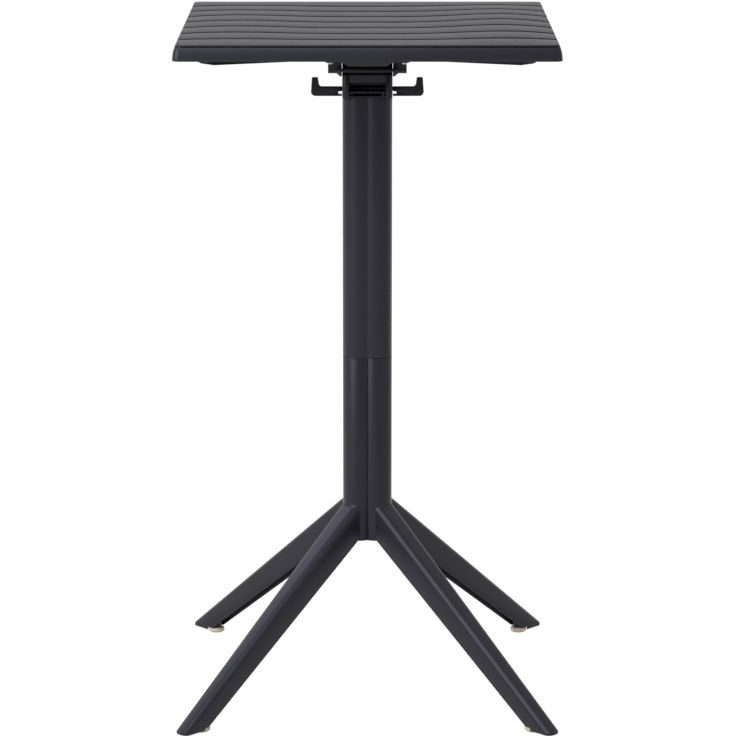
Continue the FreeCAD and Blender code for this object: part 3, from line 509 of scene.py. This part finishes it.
# %% Geometry tree helpers
def geometry_tree(name, sockets):
    """A tree with named inputs: its graph and those inputs."""
    tree = bpy.data.node_groups.new(name, "GeometryNodeTree")
    for label, kind in sockets.items():
        tree.interface.new_socket(label, in_out="INPUT", socket_type="NodeSocket" + kind)
    tree.interface.new_socket("Geometry", in_out="OUTPUT", socket_type="NodeSocketGeometry")
    graph = Graph(tree)
    entry = graph.node("NodeGroupInput")
    return graph, {label: Socket(graph, entry.outputs[label]) for label in sockets}


def end_tree(graph, geometry, material, where=True):
    """Copies made real, in their material on the chosen faces, as the tree's result."""
    whole = graph.out("GeometryNodeRealizeInstances", 0, None, {"Geometry": geometry})
    dressed = graph.out("GeometryNodeSetMaterial", 0, None,
                        {"Geometry": whole, "Selection": where, "Material": material})
    graph.node("NodeGroupOutput", None, {"Geometry": dressed})
    return graph.tree


def blank(name, mesh):
    """A helper object for a tree to copy."""
    holder = bpy.data.objects.new(name, mesh)
    scene.collection.objects.link(holder)
    return holder


def frozen(tree, values):
    """Plain mesh that a tree gives for these inputs; the blanks among them are used up."""
    holder = blank(tree.name, bpy.data.meshes.new(tree.name))
    modifier = holder.modifiers.new(tree.name, "NODES")
    modifier.node_group = tree
    for item in tree.interface.items_tree:
        if item.in_out == "INPUT":
            modifier[item.identifier] = values[item.name]
    bpy.context.view_layer.update()
    evaluated = holder.evaluated_get(bpy.context.evaluated_depsgraph_get())
    mesh = bpy.data.meshes.new_from_object(evaluated)
    holder.modifiers.remove(modifier)
    blanks = [value for value in values.values() if isinstance(value, bpy.types.Object)]
    for helper in [holder] + blanks:
        bpy.data.objects.remove(helper)
    return smoothed(mesh)


# %% [markdown]
# Slats
#
# The top is one moulding whose eight slats run from side to side. They are flat along the table's front
# and back edges, and in between they rise to a low crest near each end, the right one higher, and stay
# flat in the middle, which is why the gaps look wavy. The front and back slats overhang a shadow slot.
# Two blanks are swept straight from their sections, and one tree copies them and lifts the wave. Only the
# treads have the grained finish. The slats' sides are as smooth as the skirt and take its darker colour,
# which is painted shade that deepens the gaps between the treads.

# %% Outline of the top
TOP_HALF = 291.0
TOP_DRAFT = 5.0
DRAFT_CURVE = 1.9
TOP_CORNER_R = 11.0
SKIRT_Z = 1055.5
EDGE_Z = 1080.0
UPPER_HALF = TOP_HALF - TOP_DRAFT


def top_half(z):
    """Half the top's side at a height: the skirt starts upright and leans in more and more."""
    share = max(0.0, z - SKIRT_Z) / (EDGE_Z - SKIRT_Z)
    return TOP_HALF - TOP_DRAFT * share ** DRAFT_CURVE


print("top", 2 * top_half(SKIRT_Z), "mm wide below and", 2 * top_half(EDGE_Z), "mm above")

# %% Slat blanks
DECK_Z = 1074.5
SLAT_COUNT = 8
SLAT_GAP = 12.0
SLAT_EDGE_R = 0.6
SLAT_STEP = 6.0
SLAT_END_STEPS = 6
SECTION_STEPS = 4
SHADOW_LOW = 1076.0
SHADOW_HIGH = 1078.0
SHADOW_DEPTH = 3.5
SHADOW_EDGE_R = 0.4
SLAT_PITCH = (2 * UPPER_HALF + SLAT_GAP) / SLAT_COUNT
SLAT_WIDTH = SLAT_PITCH - SLAT_GAP
TREAD_FROM = SHADOW_HIGH + SHADOW_EDGE_R


def arc_fall(distance, radius):
    """How far a rounded edge has fallen away at a distance from its end."""
    if distance >= radius:
        return 0.0
    return radius - math.sqrt(radius ** 2 - (radius - distance) ** 2)


def slat_ends():
    """Distances from a slat's end, close together over its rounded edge and corner."""
    turns = [math.pi / 2 * i / SLAT_END_STEPS for i in range(SLAT_END_STEPS + 1)]
    near = [radius * (1 - math.sin(turn)) for radius in (SLAT_EDGE_R, TOP_CORNER_R) for turn in turns]
    return sorted(set(round(distance, 4) for distance in near))


def slat_blank(name, section, front=None):
    """Straight slat along X. Points of the section in front of the given line follow the round corner."""
    steps = int((UPPER_HALF - TOP_CORNER_R) / SLAT_STEP)
    run = [TOP_CORNER_R + (UPPER_HALF - TOP_CORNER_R) * i / steps for i in range(1, steps + 1)]
    ends = slat_ends() + run
    places = [(-1, distance) for distance in ends] + [(1, distance) for distance in reversed(ends[:-1])]
    rings = []
    for side, distance in places:
        ring = []
        for y, z in section:
            back = arc_fall(distance, TOP_CORNER_R) if front is not None and y < front else 0.0
            drop = arc_fall(distance, SLAT_EDGE_R) if z > TREAD_FROM else 0.0
            ring.append((side * (top_half(z) - distance), y + back, z - drop))
        rings.append(ring)
    return blank(name, stacked_mesh(name, rings))


def edge_section():
    """Section of the front slat, with its overhanging lip above the shadow slot."""
    back = SLAT_WIDTH - UPPER_HALF
    neck = SHADOW_DEPTH - UPPER_HALF
    return rounded([
        (-top_half(DECK_Z), DECK_Z, 0), (-top_half(SHADOW_LOW), SHADOW_LOW, SHADOW_EDGE_R),
        (neck, SHADOW_LOW, 0), (neck, SHADOW_HIGH, 0),
        (-top_half(SHADOW_HIGH), SHADOW_HIGH, SHADOW_EDGE_R), (-UPPER_HALF, EDGE_Z, SLAT_EDGE_R),
        (back, EDGE_Z, SLAT_EDGE_R), (back, DECK_Z, 0),
    ], SECTION_STEPS)


def inner_section():
    half = SLAT_WIDTH / 2
    return rounded([(-half, DECK_Z, 0), (-half, EDGE_Z, SLAT_EDGE_R), (half, EDGE_Z, SLAT_EDGE_R),
                    (half, DECK_Z, 0)], SECTION_STEPS)


front_line = SHADOW_DEPTH + SLAT_EDGE_R - UPPER_HALF
edge_slat = slat_blank("edge slat", edge_section(), front_line)
inner_slat = slat_blank("inner slat", inner_section())
print(SLAT_COUNT, "slats", round(SLAT_WIDTH, 2), "mm wide, one every", round(SLAT_PITCH, 2), "mm")

# %% Slats
WAVE_CREST = 205.0
WAVE_LEFT = 3.2
WAVE_RIGHT = 5.4
WAVE_FLATNESS = 2.1
WAVE_FADE = 0.75
TREAD_FACING = 0.7


def slat_tree():
    """Front slat, its turned copy at the back, and a row between them, all lifted by the wave."""
    graph, given = geometry_tree("wavy slats", {
        "Edge slat": "Object", "Inner slat": "Object", "Inner count": "Int", "Pitch": "Float",
        "Half side": "Float", "Crest place": "Float", "Left rise": "Float", "Right rise": "Float",
        "Lift above": "Float", "Side finish": "Material", "Finish": "Material",
    })
    edge = graph.out("GeometryNodeObjectInfo", "Geometry", None, {"Object": given["Edge slat"]})
    inner = graph.out("GeometryNodeObjectInfo", "Geometry", None, {"Object": given["Inner slat"]})
    turned = graph.out("GeometryNodeTransform", 0, None,
                       {"Geometry": edge, "Rotation": (0, 0, math.pi)})
    first = given["Pitch"] * (given["Inner count"] - 1) * -0.5
    row = graph.out("GeometryNodeMeshLine", 0, {"mode": "OFFSET", "count_mode": "TOTAL"}, {
        "Count": given["Inner count"], "Start Location": graph.vector(0.0, first, 0.0),
        "Offset": graph.vector(0.0, given["Pitch"], 0.0)})
    copies = graph.out("GeometryNodeInstanceOnPoints", 0, None, {"Points": row, "Instance": inner})
    whole = graph.out("GeometryNodeRealizeInstances", 0, None,
                      {"Geometry": graph.joined(edge, turned, copies)})

    x, y, z = graph.parts(graph.out("GeometryNodeInputPosition", 0))
    place = x / given["Crest place"]
    side = graph.held(place, -1.0, 1.0)
    rise = given["Left rise"] + (given["Right rise"] - given["Left rise"]) * (side + 1) / 2
    inside = ((1 - graph.math("COSINE", place * math.pi)) / 2) ** WAVE_FLATNESS
    beyond = (abs(x) - given["Crest place"]) / (given["Half side"] - given["Crest place"])
    outside = graph.math("MAXIMUM", 1 - beyond ** 2, 0.0)
    past = beyond > 0
    over_depth = graph.math("COSINE", y / given["Half side"] * (math.pi / 2))
    share = graph.math("MAXIMUM", over_depth, 0.0) ** WAVE_FADE
    lift = (inside * (1 - past) + outside * past) * rise * share * (z > given["Lift above"])
    waved = graph.out("GeometryNodeSetPosition", 0, None,
                      {"Geometry": whole, "Offset": graph.vector(0.0, 0.0, lift)})
    # The sides get the skirt's resin. Its smoothness is real; its darker colour is painted shade that
    # darkens the gaps.
    sides_with_painted_shade = graph.out("GeometryNodeSetMaterial", 0, None,
                      {"Geometry": waved, "Material": given["Side finish"]})
    facing_up = graph.parts(graph.out("GeometryNodeInputNormal", 0))[2] > TREAD_FACING
    return end_tree(graph, sides_with_painted_shade, given["Finish"], facing_up)


# The side finish is darker than the treads' grained one: painted shade in the gaps between the slats.
slats = frozen(slat_tree(), {
    "Edge slat": edge_slat, "Inner slat": inner_slat, "Inner count": SLAT_COUNT - 2,
    "Pitch": SLAT_PITCH * MM, "Half side": UPPER_HALF * MM, "Crest place": WAVE_CREST * MM,
    "Left rise": WAVE_LEFT * MM, "Right rise": WAVE_RIGHT * MM, "Lift above": TREAD_FROM * MM,
    "Side finish": FINISHES["anthracite_resin"], "Finish": FINISHES["grained_resin"],
})
finish_piece("top_slats", slats, "top", "anthracite_resin", "table_top")

# %% [markdown]
# Tray under the slats
#
# The slats stand on a closed deck with a skirt round it. A straight drafted skirt would take one even
# tone, but the real one curves: it faces up a little at its upper edge and is upright at the bottom, so
# that its light fades downwards. The tray is one stack of rounded squares, up the inside, round the
# lower lip and up the outside.

# %% Tray
SKIRT_WALL = 4.2
SKIRT_LIP_R = 1.2
SKIRT_STEPS = 10
LIP_STEPS = 3
CORNER_STEPS = 10
DECK_BOTTOM = 1070.5


def top_outline(half, z):
    corner = TOP_CORNER_R + half - TOP_HALF if half > TOP_HALF - TOP_CORNER_R else 0
    square = [(half, half, corner), (-half, half, corner), (-half, -half, corner), (half, -half, corner)]
    return at_height(rounded(square, CORNER_STEPS), z)


def tray_rings():
    rings = [top_outline(top_half(z) - SKIRT_WALL, z) for z in (DECK_BOTTOM, SKIRT_Z + SKIRT_LIP_R)]
    for i in range(LIP_STEPS + 1):
        turn = math.pi / 2 * i / LIP_STEPS
        out, up = SKIRT_LIP_R * math.sin(turn), SKIRT_LIP_R * (1 - math.cos(turn))
        rings.append(top_outline(top_half(SKIRT_Z) - SKIRT_LIP_R + out, SKIRT_Z + up))
    low = SKIRT_Z + SKIRT_LIP_R
    for i in range(1, SKIRT_STEPS + 1):
        z = low + (DECK_Z - low) * i / SKIRT_STEPS
        rings.append(top_outline(top_half(z), z))
    return rings


finish_piece("top_tray", stacked_mesh("top_tray", tray_rings()), "top", "anthracite_resin", "table_top")

# %% [markdown]
# Ribs, beams and hub under the top
#
# Underneath, a low square grid stiffens the deck, and four deep twin-walled beams run from the hub out
# to the corners, sinking towards the hub. Their rounded ends are what shows below the skirt. The grid is
# two rows of boxes from one tree, and a second tree sets out copies of one blank round a circle, which
# serves the beams here, and later the tongues of the column and the ridges of the glides.

# %% Ribs
RIB_WALL = 3.0
RIB_DEPTH = 9.0
RIB_PITCH = 95.0
RIB_COUNT = 5
BURIED = 1.0
DECK_ROOT = DECK_BOTTOM + BURIED


def grid_tree():
    """Equal boxes side by side along X, and the same turned to run along X."""
    graph, given = geometry_tree("grid ribs", {
        "Count": "Int", "Pitch": "Float", "Length": "Float", "Wall": "Float", "Depth": "Float",
        "Middle height": "Float", "Finish": "Material",
    })
    size = graph.vector(given["Wall"], given["Length"], given["Depth"])
    rib = graph.out("GeometryNodeMeshCube", 0, None, {"Size": size})
    first = given["Pitch"] * (given["Count"] - 1) * -0.5
    row = graph.out("GeometryNodeMeshLine", 0, {"mode": "OFFSET", "count_mode": "TOTAL"}, {
        "Count": given["Count"], "Start Location": graph.vector(first, 0.0, given["Middle height"]),
        "Offset": graph.vector(given["Pitch"], 0.0, 0.0)})
    ribs = graph.out("GeometryNodeInstanceOnPoints", 0, None, {"Points": row, "Instance": rib})
    crosswise = graph.out("GeometryNodeTransform", 0, None,
                          {"Geometry": ribs, "Rotation": (0, 0, math.pi / 2)})
    return end_tree(graph, graph.joined(ribs, crosswise), given["Finish"])


rib_depth = RIB_DEPTH + BURIED
ribs = frozen(grid_tree(), {
    "Count": RIB_COUNT, "Pitch": RIB_PITCH * MM, "Length": 2 * (UPPER_HALF - SKIRT_WALL / 2) * MM,
    "Wall": RIB_WALL * MM, "Depth": rib_depth * MM, "Middle height": (DECK_ROOT - rib_depth / 2) * MM,
    "Finish": FINISHES["anthracite_resin"],
})
finish_piece("top_ribs", ribs, "top", "anthracite_resin", "table_top")

# %% Beams
PLATE_TOP = 1028.5
PLATE_HALF_X = 66.0
PLATE_BACK = 42.0
BEAM_COUNT = 4
BEAM_HALF = 13.0
BEAM_WALL = 4.0
BEAM_TIP = 340.0
BEAM_END = 360.0
BEAM_TIP_Z = 1045.0
BEAM_TIP_R = 10.0
BEAM_TIES = 4
BEAM_TIE_PITCH = 60.0


def ring_tree():
    """Copies of a blank turned round the upright axis through a centre."""
    graph, given = geometry_tree("copies round a circle", {
        "Blank": "Object", "Count": "Int", "First angle": "Float", "Centre": "Vector",
        "Finish": "Material",
    })
    shape = graph.out("GeometryNodeObjectInfo", "Geometry", None, {"Object": given["Blank"]})
    points = graph.out("GeometryNodeMeshLine", 0, {"mode": "OFFSET", "count_mode": "TOTAL"}, {
        "Count": given["Count"], "Start Location": given["Centre"], "Offset": (0.0, 0.0, 0.0)})
    step = graph.out("GeometryNodeInputIndex", 0) / given["Count"] * (2 * math.pi)
    turn = graph.vector(0.0, 0.0, step + given["First angle"])
    copies = graph.out("GeometryNodeInstanceOnPoints", 0, None,
                       {"Points": points, "Instance": shape, "Rotation": turn})
    return end_tree(graph, copies, given["Finish"])


def across(outline, low, high):
    """Two rings of an outline in the XZ plane, from y low to y high."""
    return [[(u, y, v) for u, v in outline] for y in (low, high)]


def beam_line(reach):
    """Height of a beam's lower edge, which sinks from its tip to the hub."""
    share = (reach - PLATE_HALF_X) / (BEAM_TIP - PLATE_HALF_X)
    return PLATE_TOP + (BEAM_TIP_Z - PLATE_TOP) * max(0.0, share)


def beam_blank():
    """One beam along +X: two walls, ties between them and a closed, rounded end."""
    tip = (BEAM_TIP, BEAM_TIP_Z, BEAM_TIP_R)
    inner = BEAM_TIP - BEAM_WALL
    wall = rounded([(PLATE_BACK, DECK_ROOT, 0), (PLATE_BACK, PLATE_TOP, 0), (PLATE_HALF_X, PLATE_TOP, 0),
                    tip, (BEAM_END, SKIRT_Z, 0), (BEAM_END, DECK_ROOT, 0)])
    cap = rounded([(inner, beam_line(inner), 0), tip, (BEAM_END, SKIRT_Z, 0), (BEAM_END, DECK_ROOT, 0),
                   (BEAM_END - BEAM_WALL, DECK_ROOT, 0), (BEAM_END - BEAM_WALL, SKIRT_Z, 0)])
    stacks = [across(wall, side * BEAM_HALF, side * (BEAM_HALF - BEAM_WALL)) for side in (-1, 1)]
    stacks.append(across(cap, BURIED - BEAM_HALF, BEAM_HALF - BURIED))
    for i in range(1, BEAM_TIES + 1):
        reach = PLATE_HALF_X + BEAM_TIE_PITCH * i
        low = beam_line(reach) + BEAM_WALL
        tie = [Vector((reach, low)), Vector((reach + BEAM_WALL, low)),
               Vector((reach + BEAM_WALL, DECK_ROOT)), Vector((reach, DECK_ROOT))]
        stacks.append(across(tie, BURIED - BEAM_HALF, BEAM_HALF - BURIED))
    return blank("beam", stacked_mesh("beam", *stacks))


copies_round = ring_tree()
beams = frozen(copies_round, {
    "Blank": beam_blank(), "Count": BEAM_COUNT, "First angle": math.pi / 4, "Centre": (0.0, 0.0, 0.0),
    "Finish": FINISHES["rough_resin"],
})
finish_piece("top_beams", beams, "top", "anthracite_resin", "table_top")

# %% Hub
PLATE_FRONT = -60.0
HUB_MARGIN = 2.0
HUB_WALL = 4.0
HUB_BOSS_R = 8.5
HUB_BOSS_POINTS = 32


def hub_mesh():
    """Wall round the hinge bracket's seat with a screw boss in each corner."""
    build = bmesh.new()
    rings = []
    for inset, z in ((0, PLATE_TOP), (0, DECK_ROOT), (HUB_WALL, DECK_ROOT), (HUB_WALL, PLATE_TOP)):
        x = PLATE_HALF_X + HUB_MARGIN - inset
        front, back = PLATE_FRONT - HUB_MARGIN + inset, PLATE_BACK + HUB_MARGIN - inset
        rings.append([(x, back, z), (-x, back, z), (-x, front, z), (x, front, z)])
    add_stack(build, rings, joined=True)
    for x in (HUB_BOSS_R - PLATE_HALF_X, PLATE_HALF_X - HUB_BOSS_R):
        for y in (PLATE_FRONT + HUB_BOSS_R, PLATE_BACK - HUB_BOSS_R):
            boss = circle(HUB_BOSS_R, HUB_BOSS_POINTS, x, y)
            add_stack(build, [at_height(boss, z) for z in (PLATE_TOP, DECK_ROOT)])
    return to_mesh("top_hub", build)


finish_piece("top_hub", hub_mesh(), "top", "anthracite_resin", "table_top")

# %% [markdown]
# Upper column
#
# The column's section is four circles that meet in shallow valleys. On the real tube the valleys have
# a small radius, without which light would break along a hard line. Taking the square root of x squared
# plus a small square, in place of the distance itself, rounds them with one formula. The foot of the
# tube steps in a little, so that its seam with the legs shows as a fine line.

# %% Upper column
COLUMN_HALF = 39.2
VALLEY_DEPTH = 3.8
VALLEY_SOFTNESS = 1.2
SEAM_Z = 546.5
SEAM_REVEAL = 0.9
SEAM_EDGE = 0.2
COLUMN_TOP = 966.0
COLUMN_EDGE_R = 0.8
COLUMN_STEPS = 8
LOBE_STEPS = 28
LOBE_C = math.sqrt(2 * COLUMN_HALF * VALLEY_DEPTH) - VALLEY_DEPTH
LOBE_R = COLUMN_HALF - LOBE_C


def lobed_outline(inset):
    """Four-lobed outline set in from the column's face, its valleys rounded."""
    radius = LOBE_R - inset
    start = -math.asin(LOBE_C / radius)
    outline = []
    for quarter in range(4):
        turn = Matrix.Rotation(math.pi / 2 * quarter, 2)
        for i in range(LOBE_STEPS):
            angle = start + (math.pi / 2 - 2 * start) * (i + 0.5) / LOBE_STEPS
            point = Vector((LOBE_C + radius * math.cos(angle), LOBE_C + radius * math.sin(angle)))
            near = min(point)
            gain = math.hypot(near, VALLEY_SOFTNESS) - near
            outward = Vector((1, 0)) if point.x > point.y else Vector((0, 1))
            outline.append(turn @ (point + outward * gain * LOBE_C / radius))
    return outline


def column_rings():
    reveal_top = SEAM_Z + SEAM_REVEAL
    top = COLUMN_TOP - COLUMN_EDGE_R
    levels = [(SEAM_REVEAL, SEAM_Z), (SEAM_REVEAL, reveal_top), (SEAM_EDGE, reveal_top),
              (0.0, reveal_top + SEAM_EDGE)]
    levels += [(0.0, SEAM_Z + (top - SEAM_Z) * i / COLUMN_STEPS) for i in range(1, COLUMN_STEPS + 1)]
    levels.append((COLUMN_EDGE_R, COLUMN_TOP))
    return [at_height(lobed_outline(inset), z) for inset, z in levels]


finish_piece("upper_column_tube", stacked_mesh("upper_column_tube", column_rings()), "base",
             "anthracite_resin", "upper_column")

# %% [markdown]
# Eased mouldings
#
# The legs, hinge bracket, head and hooks have their right shape already, but their edges are knife
# sharp, and no moulding comes out of its tool like that. Each gets a copy whose loose triangles are
# welded and whose flat faces are merged, and then every sharp edge is cut by a narrow round bevel,
# which catches the light as a thin line. The legs' undersides are left rough, so their rims stay dark.

# %% Eased mouldings
EASED = {
    # node: (body, width of the bevel)
    "hinge_bracket": ("top", 0.35),
    "column_head": ("base", 0.5),
    "pin_caps": ("base", 0.3),
    "bag_hook_left": ("release_bar", 0.5),
    "bag_hook_right": ("release_bar", 0.5),
    "leg_front_left": ("base", 0.35),
    "leg_front_right": ("base", 0.35),
    "leg_rear_left": ("base", 0.35),
    "leg_rear_right": ("base", 0.35),
}
EASE_FROM = math.radians(38)
EASE_SEGMENTS = 2
FLAT_WITHIN = math.radians(0.5)
DOWNWARD = -0.3


def eased(node, width):
    """Welded copy of a node's mesh with its sharp edges rounded."""
    build = bmesh.new()
    build.from_mesh(nodes[node].data)
    bmesh.ops.remove_doubles(build, verts=build.verts, dist=WELD * MM)
    bmesh.ops.dissolve_limit(build, angle_limit=FLAT_WITHIN, verts=build.verts, edges=build.edges)
    edges = [edge for edge in build.edges if edge.is_manifold and edge.calc_face_angle() > EASE_FROM]
    bmesh.ops.bevel(build, geom=edges, offset=width * MM, segments=EASE_SEGMENTS, profile=0.5,
                    affect="EDGES", clamp_overlap=True)
    mesh = bpy.data.meshes.new(node)
    build.to_mesh(mesh)
    build.free()
    return smoothed(mesh)


def left_rough_below(mesh):
    """Give a mesh the resin's finish, and the rough one on every face that looks down."""
    for finish in ("anthracite_resin", "rough_resin"):
        mesh.materials.append(FINISHES[finish])
    for face in mesh.polygons:
        face.material_index = int(face.normal.z < DOWNWARD)


for node, (body, width) in EASED.items():
    moulding = eased(node, width)
    if node_slot[node] == "anthracite_resin":
        left_rough_below(moulding)
    finish_piece(node + "_moulding", moulding, body, node_slot[node], node)

# %% [markdown]
# Apron and joint tongues
#
# Two small parts of the mouldings close gaps that light would otherwise shine through. A bevelled apron
# of the top's resin hangs in front of the hinge bracket. It is given a lighter grey than the resin, which
# is painted light on a part that hangs in the shade of the top. And where two quarters of the lower
# column meet, a thin tongue of one reaches behind the edge of the next, so that the joint is a dark line
# and not a slit.

# %% Apron
APRON_HALF = 38.0
APRON_SLANT = 8.0
APRON_SHOULDER_R = 2.0
APRON_CORNER_R = 4.0
APRON_DROP = 9.6
APRON_WALL = 1.8
APRON_LEAN = 3.5


def apron_mesh():
    low = PLATE_TOP - APRON_DROP
    shoulder = low + APRON_DROP / 2
    narrow = APRON_HALF - APRON_SLANT
    outline = rounded([
        (APRON_HALF, PLATE_TOP, 0), (-APRON_HALF, PLATE_TOP, 0),
        (-APRON_HALF, shoulder, APRON_SHOULDER_R), (-narrow, low, APRON_CORNER_R),
        (narrow, low, APRON_CORNER_R), (APRON_HALF, shoulder, APRON_SHOULDER_R),
    ])
    rings = []
    for behind in (0.0, APRON_WALL):
        y = PLATE_FRONT - HUB_MARGIN + behind
        rings.append([(u, y - APRON_LEAN * (PLATE_TOP - v) / APRON_DROP, v) for u, v in outline])
    return stacked_mesh("top_apron", rings)


# The apron takes the lighter grey, painted light on a part in the shade of the top.
finish_piece("top_apron", apron_mesh(), "top", "anthracite_resin", "table_top", finish="painted_light_resin")

# %% Joint tongues
TONGUE_COUNT = 4
TONGUE_REACH = 33.4
TONGUE_HALF = 2.5
TONGUE_WALL = 1.2
HUB_BOTTOM = 245.0
LEG_NODES = [node for node in EASED if node.startswith("leg_")]


def tongue_blank():
    strip = rounded([(TONGUE_REACH, TONGUE_HALF, 0), (TONGUE_REACH - TONGUE_WALL, TONGUE_HALF, 0),
                     (TONGUE_REACH - TONGUE_WALL, -TONGUE_HALF, 0), (TONGUE_REACH, -TONGUE_HALF, 0)])
    ends = (HUB_BOTTOM + BURIED, SEAM_Z - BURIED)
    return blank("tongue", stacked_mesh("tongue", [at_height(strip, z) for z in ends]))


tongues = frozen(copies_round, {
    "Blank": tongue_blank(), "Count": TONGUE_COUNT, "First angle": 0.0, "Centre": (0.0, 0.0, 0.0),
    "Finish": FINISHES["anthracite_resin"],
})
finish_piece("leg_joint_tongues", tongues, "base", "anthracite_resin", *LEG_NODES)

# %% [markdown]
# Screws
#
# Pan-head screws hold the bracket under the top and the clamp plate under the legs. A screw is a stack
# of circles; its cross recess is one more ring whose radius follows the four arms of a plus. One tree
# puts a copy at every corner of a rectangle, which is how both sets are laid out.

# %% Screw blank
SCREW_POINTS = 32
SCREW_R = 2.5
SCREW_LENGTH = 20.0
HEAD_LEVELS = [(4.5, 0.0), (4.5, 1.5), (4.2, 2.2), (3.5, 2.7), (2.5, 3.0)]
RECESS_ARM = 2.1
RECESS_HALF = 0.55
RECESS_DEPTH = 1.7
RECESS_TAPER = 0.8


def plus_outline(scale):
    """Outline of a plus: an arm's end where it faces outwards, its flank where it doesn't."""
    outline = []
    for i in range(SCREW_POINTS):
        angle = 2 * math.pi * (i + 0.5) / SCREW_POINTS
        off_arm = abs((angle + math.pi / 4) % (math.pi / 2) - math.pi / 4)
        radius = min(RECESS_ARM / math.cos(off_arm), RECESS_HALF / math.sin(off_arm))
        outline.append(Vector((math.cos(angle), math.sin(angle))) * radius * scale)
    return outline


def ring_of(radius, z):
    turn = Matrix.Rotation(math.pi / SCREW_POINTS, 2)
    return at_height([turn @ point for point in circle(radius, SCREW_POINTS)], z)


def screw_blank():
    """Screw with its seat at the origin, its shank up and its head down."""
    rings = [ring_of(SCREW_R / 2, SCREW_LENGTH), ring_of(SCREW_R, SCREW_LENGTH - SCREW_R),
             ring_of(SCREW_R, 0.0)]
    rings += [ring_of(radius, -depth) for radius, depth in HEAD_LEVELS]
    bottom = HEAD_LEVELS[-1][1]
    rings.append(at_height(plus_outline(1.0), -bottom))
    rings.append(at_height(plus_outline(RECESS_TAPER), RECESS_DEPTH - bottom))
    return blank("screw", stacked_mesh("screw", rings))


print("screw", SCREW_LENGTH, "mm long with a head", 2 * HEAD_LEVELS[0][0], "mm across")

# %% Screws
SCREW_SETS = {
    # node: (body, centre, distance between screws along x and y)
    "bracket_screws": ("top", (0.0, -9.0, 1023.5), (115.0, 85.0)),
    "hub_screws": ("base", (0.0, 0.0, 257.0), (21.213, 21.213)),
}


def corner_tree():
    """A blank at each corner of a level rectangle."""
    graph, given = geometry_tree("copies at four corners", {
        "Blank": "Object", "Centre": "Vector", "Length": "Float", "Width": "Float",
        "Finish": "Material",
    })
    shape = graph.out("GeometryNodeObjectInfo", "Geometry", None, {"Object": given["Blank"]})
    plate = graph.out("GeometryNodeMeshGrid", 0, None, {
        "Size X": given["Length"], "Size Y": given["Width"], "Vertices X": 2, "Vertices Y": 2})
    placed = graph.out("GeometryNodeTransform", 0, None,
                       {"Geometry": plate, "Translation": given["Centre"]})
    copies = graph.out("GeometryNodeInstanceOnPoints", 0, None, {"Points": placed, "Instance": shape})
    return end_tree(graph, copies, given["Finish"])


copies_at_corners = corner_tree()
for node, (body, centre, (length, width)) in SCREW_SETS.items():
    screws = frozen(copies_at_corners, {
        "Blank": screw_blank(), "Centre": [value * MM for value in centre], "Length": length * MM,
        "Width": width * MM, "Finish": FINISHES["zinc_steel"],
    })
    finish_piece(node + "_detailed", screws, body, "zinc_steel", node)

# %% [markdown]
# Glides
#
# Each leg stands on a pale nylon pad with a ridged rim for the fingers that screw it up or down. The pad
# is a stack of circles with rounded edges and a small collar round its stem, and the ridges are copies of
# one half-round bar set round it.

# %% Glides
GLIDE_AT = 259.508
GLIDE_R = 13.5
GLIDE_HEIGHT = 8.5
RIDGE_COUNT = 18
RIDGE_POINTS = 8
RIDGE_R = 1.5
RIDGE_LOW = 1.6
RIDGE_HIGH = 7.4
COLLAR_R = 6.5
PAD_POINTS = 64
PAD_LEVELS = [
    # radius less than the pad's own, height
    (2.4, 0.0), (1.2, 0.4), (0.5, 1.2), (0.0, 2.2),
    (0.0, 6.4), (0.6, 7.2), (1.6, 7.7), (4.0, 7.9),
]


def pad_mesh(name, x, y):
    body_r = GLIDE_R - RIDGE_R / 2
    shoulder = PAD_LEVELS[-1][1]
    rings = [at_height(circle(body_r - less, PAD_POINTS, x, y), z) for less, z in PAD_LEVELS]
    rings += [at_height(circle(COLLAR_R, PAD_POINTS, x, y), z) for z in (shoulder, GLIDE_HEIGHT)]
    return stacked_mesh(name, rings)


def ridge_blank():
    bar = circle(RIDGE_R, RIDGE_POINTS, GLIDE_R - RIDGE_R)
    tip = circle(RIDGE_R / 2, RIDGE_POINTS, GLIDE_R - RIDGE_R)
    levels = [(tip, RIDGE_LOW), (bar, RIDGE_LOW + RIDGE_R / 2),
              (bar, RIDGE_HIGH - RIDGE_R / 2), (tip, RIDGE_HIGH)]
    return blank("ridge", stacked_mesh("ridge", [at_height(outline, z) for outline, z in levels]))


for side, x in (("left", -GLIDE_AT), ("right", GLIDE_AT)):
    for end, y in (("front", -GLIDE_AT), ("rear", GLIDE_AT)):
        corner = end + "_" + side
        node, body = "glide_" + corner, "foot_" + corner
        ridges = frozen(copies_round, {
            "Blank": ridge_blank(), "Count": RIDGE_COUNT, "First angle": 0.0,
            "Centre": (x * MM, y * MM, 0.0), "Finish": FINISHES["ivory_plastic"],
        })
        pad = pad_mesh("glide_pad_" + corner, x, y)
        finish_piece("glide_pad_" + corner, pad, body, "ivory_plastic", node)
        finish_piece("glide_ridges_" + corner, ridges, body, "ivory_plastic", node)
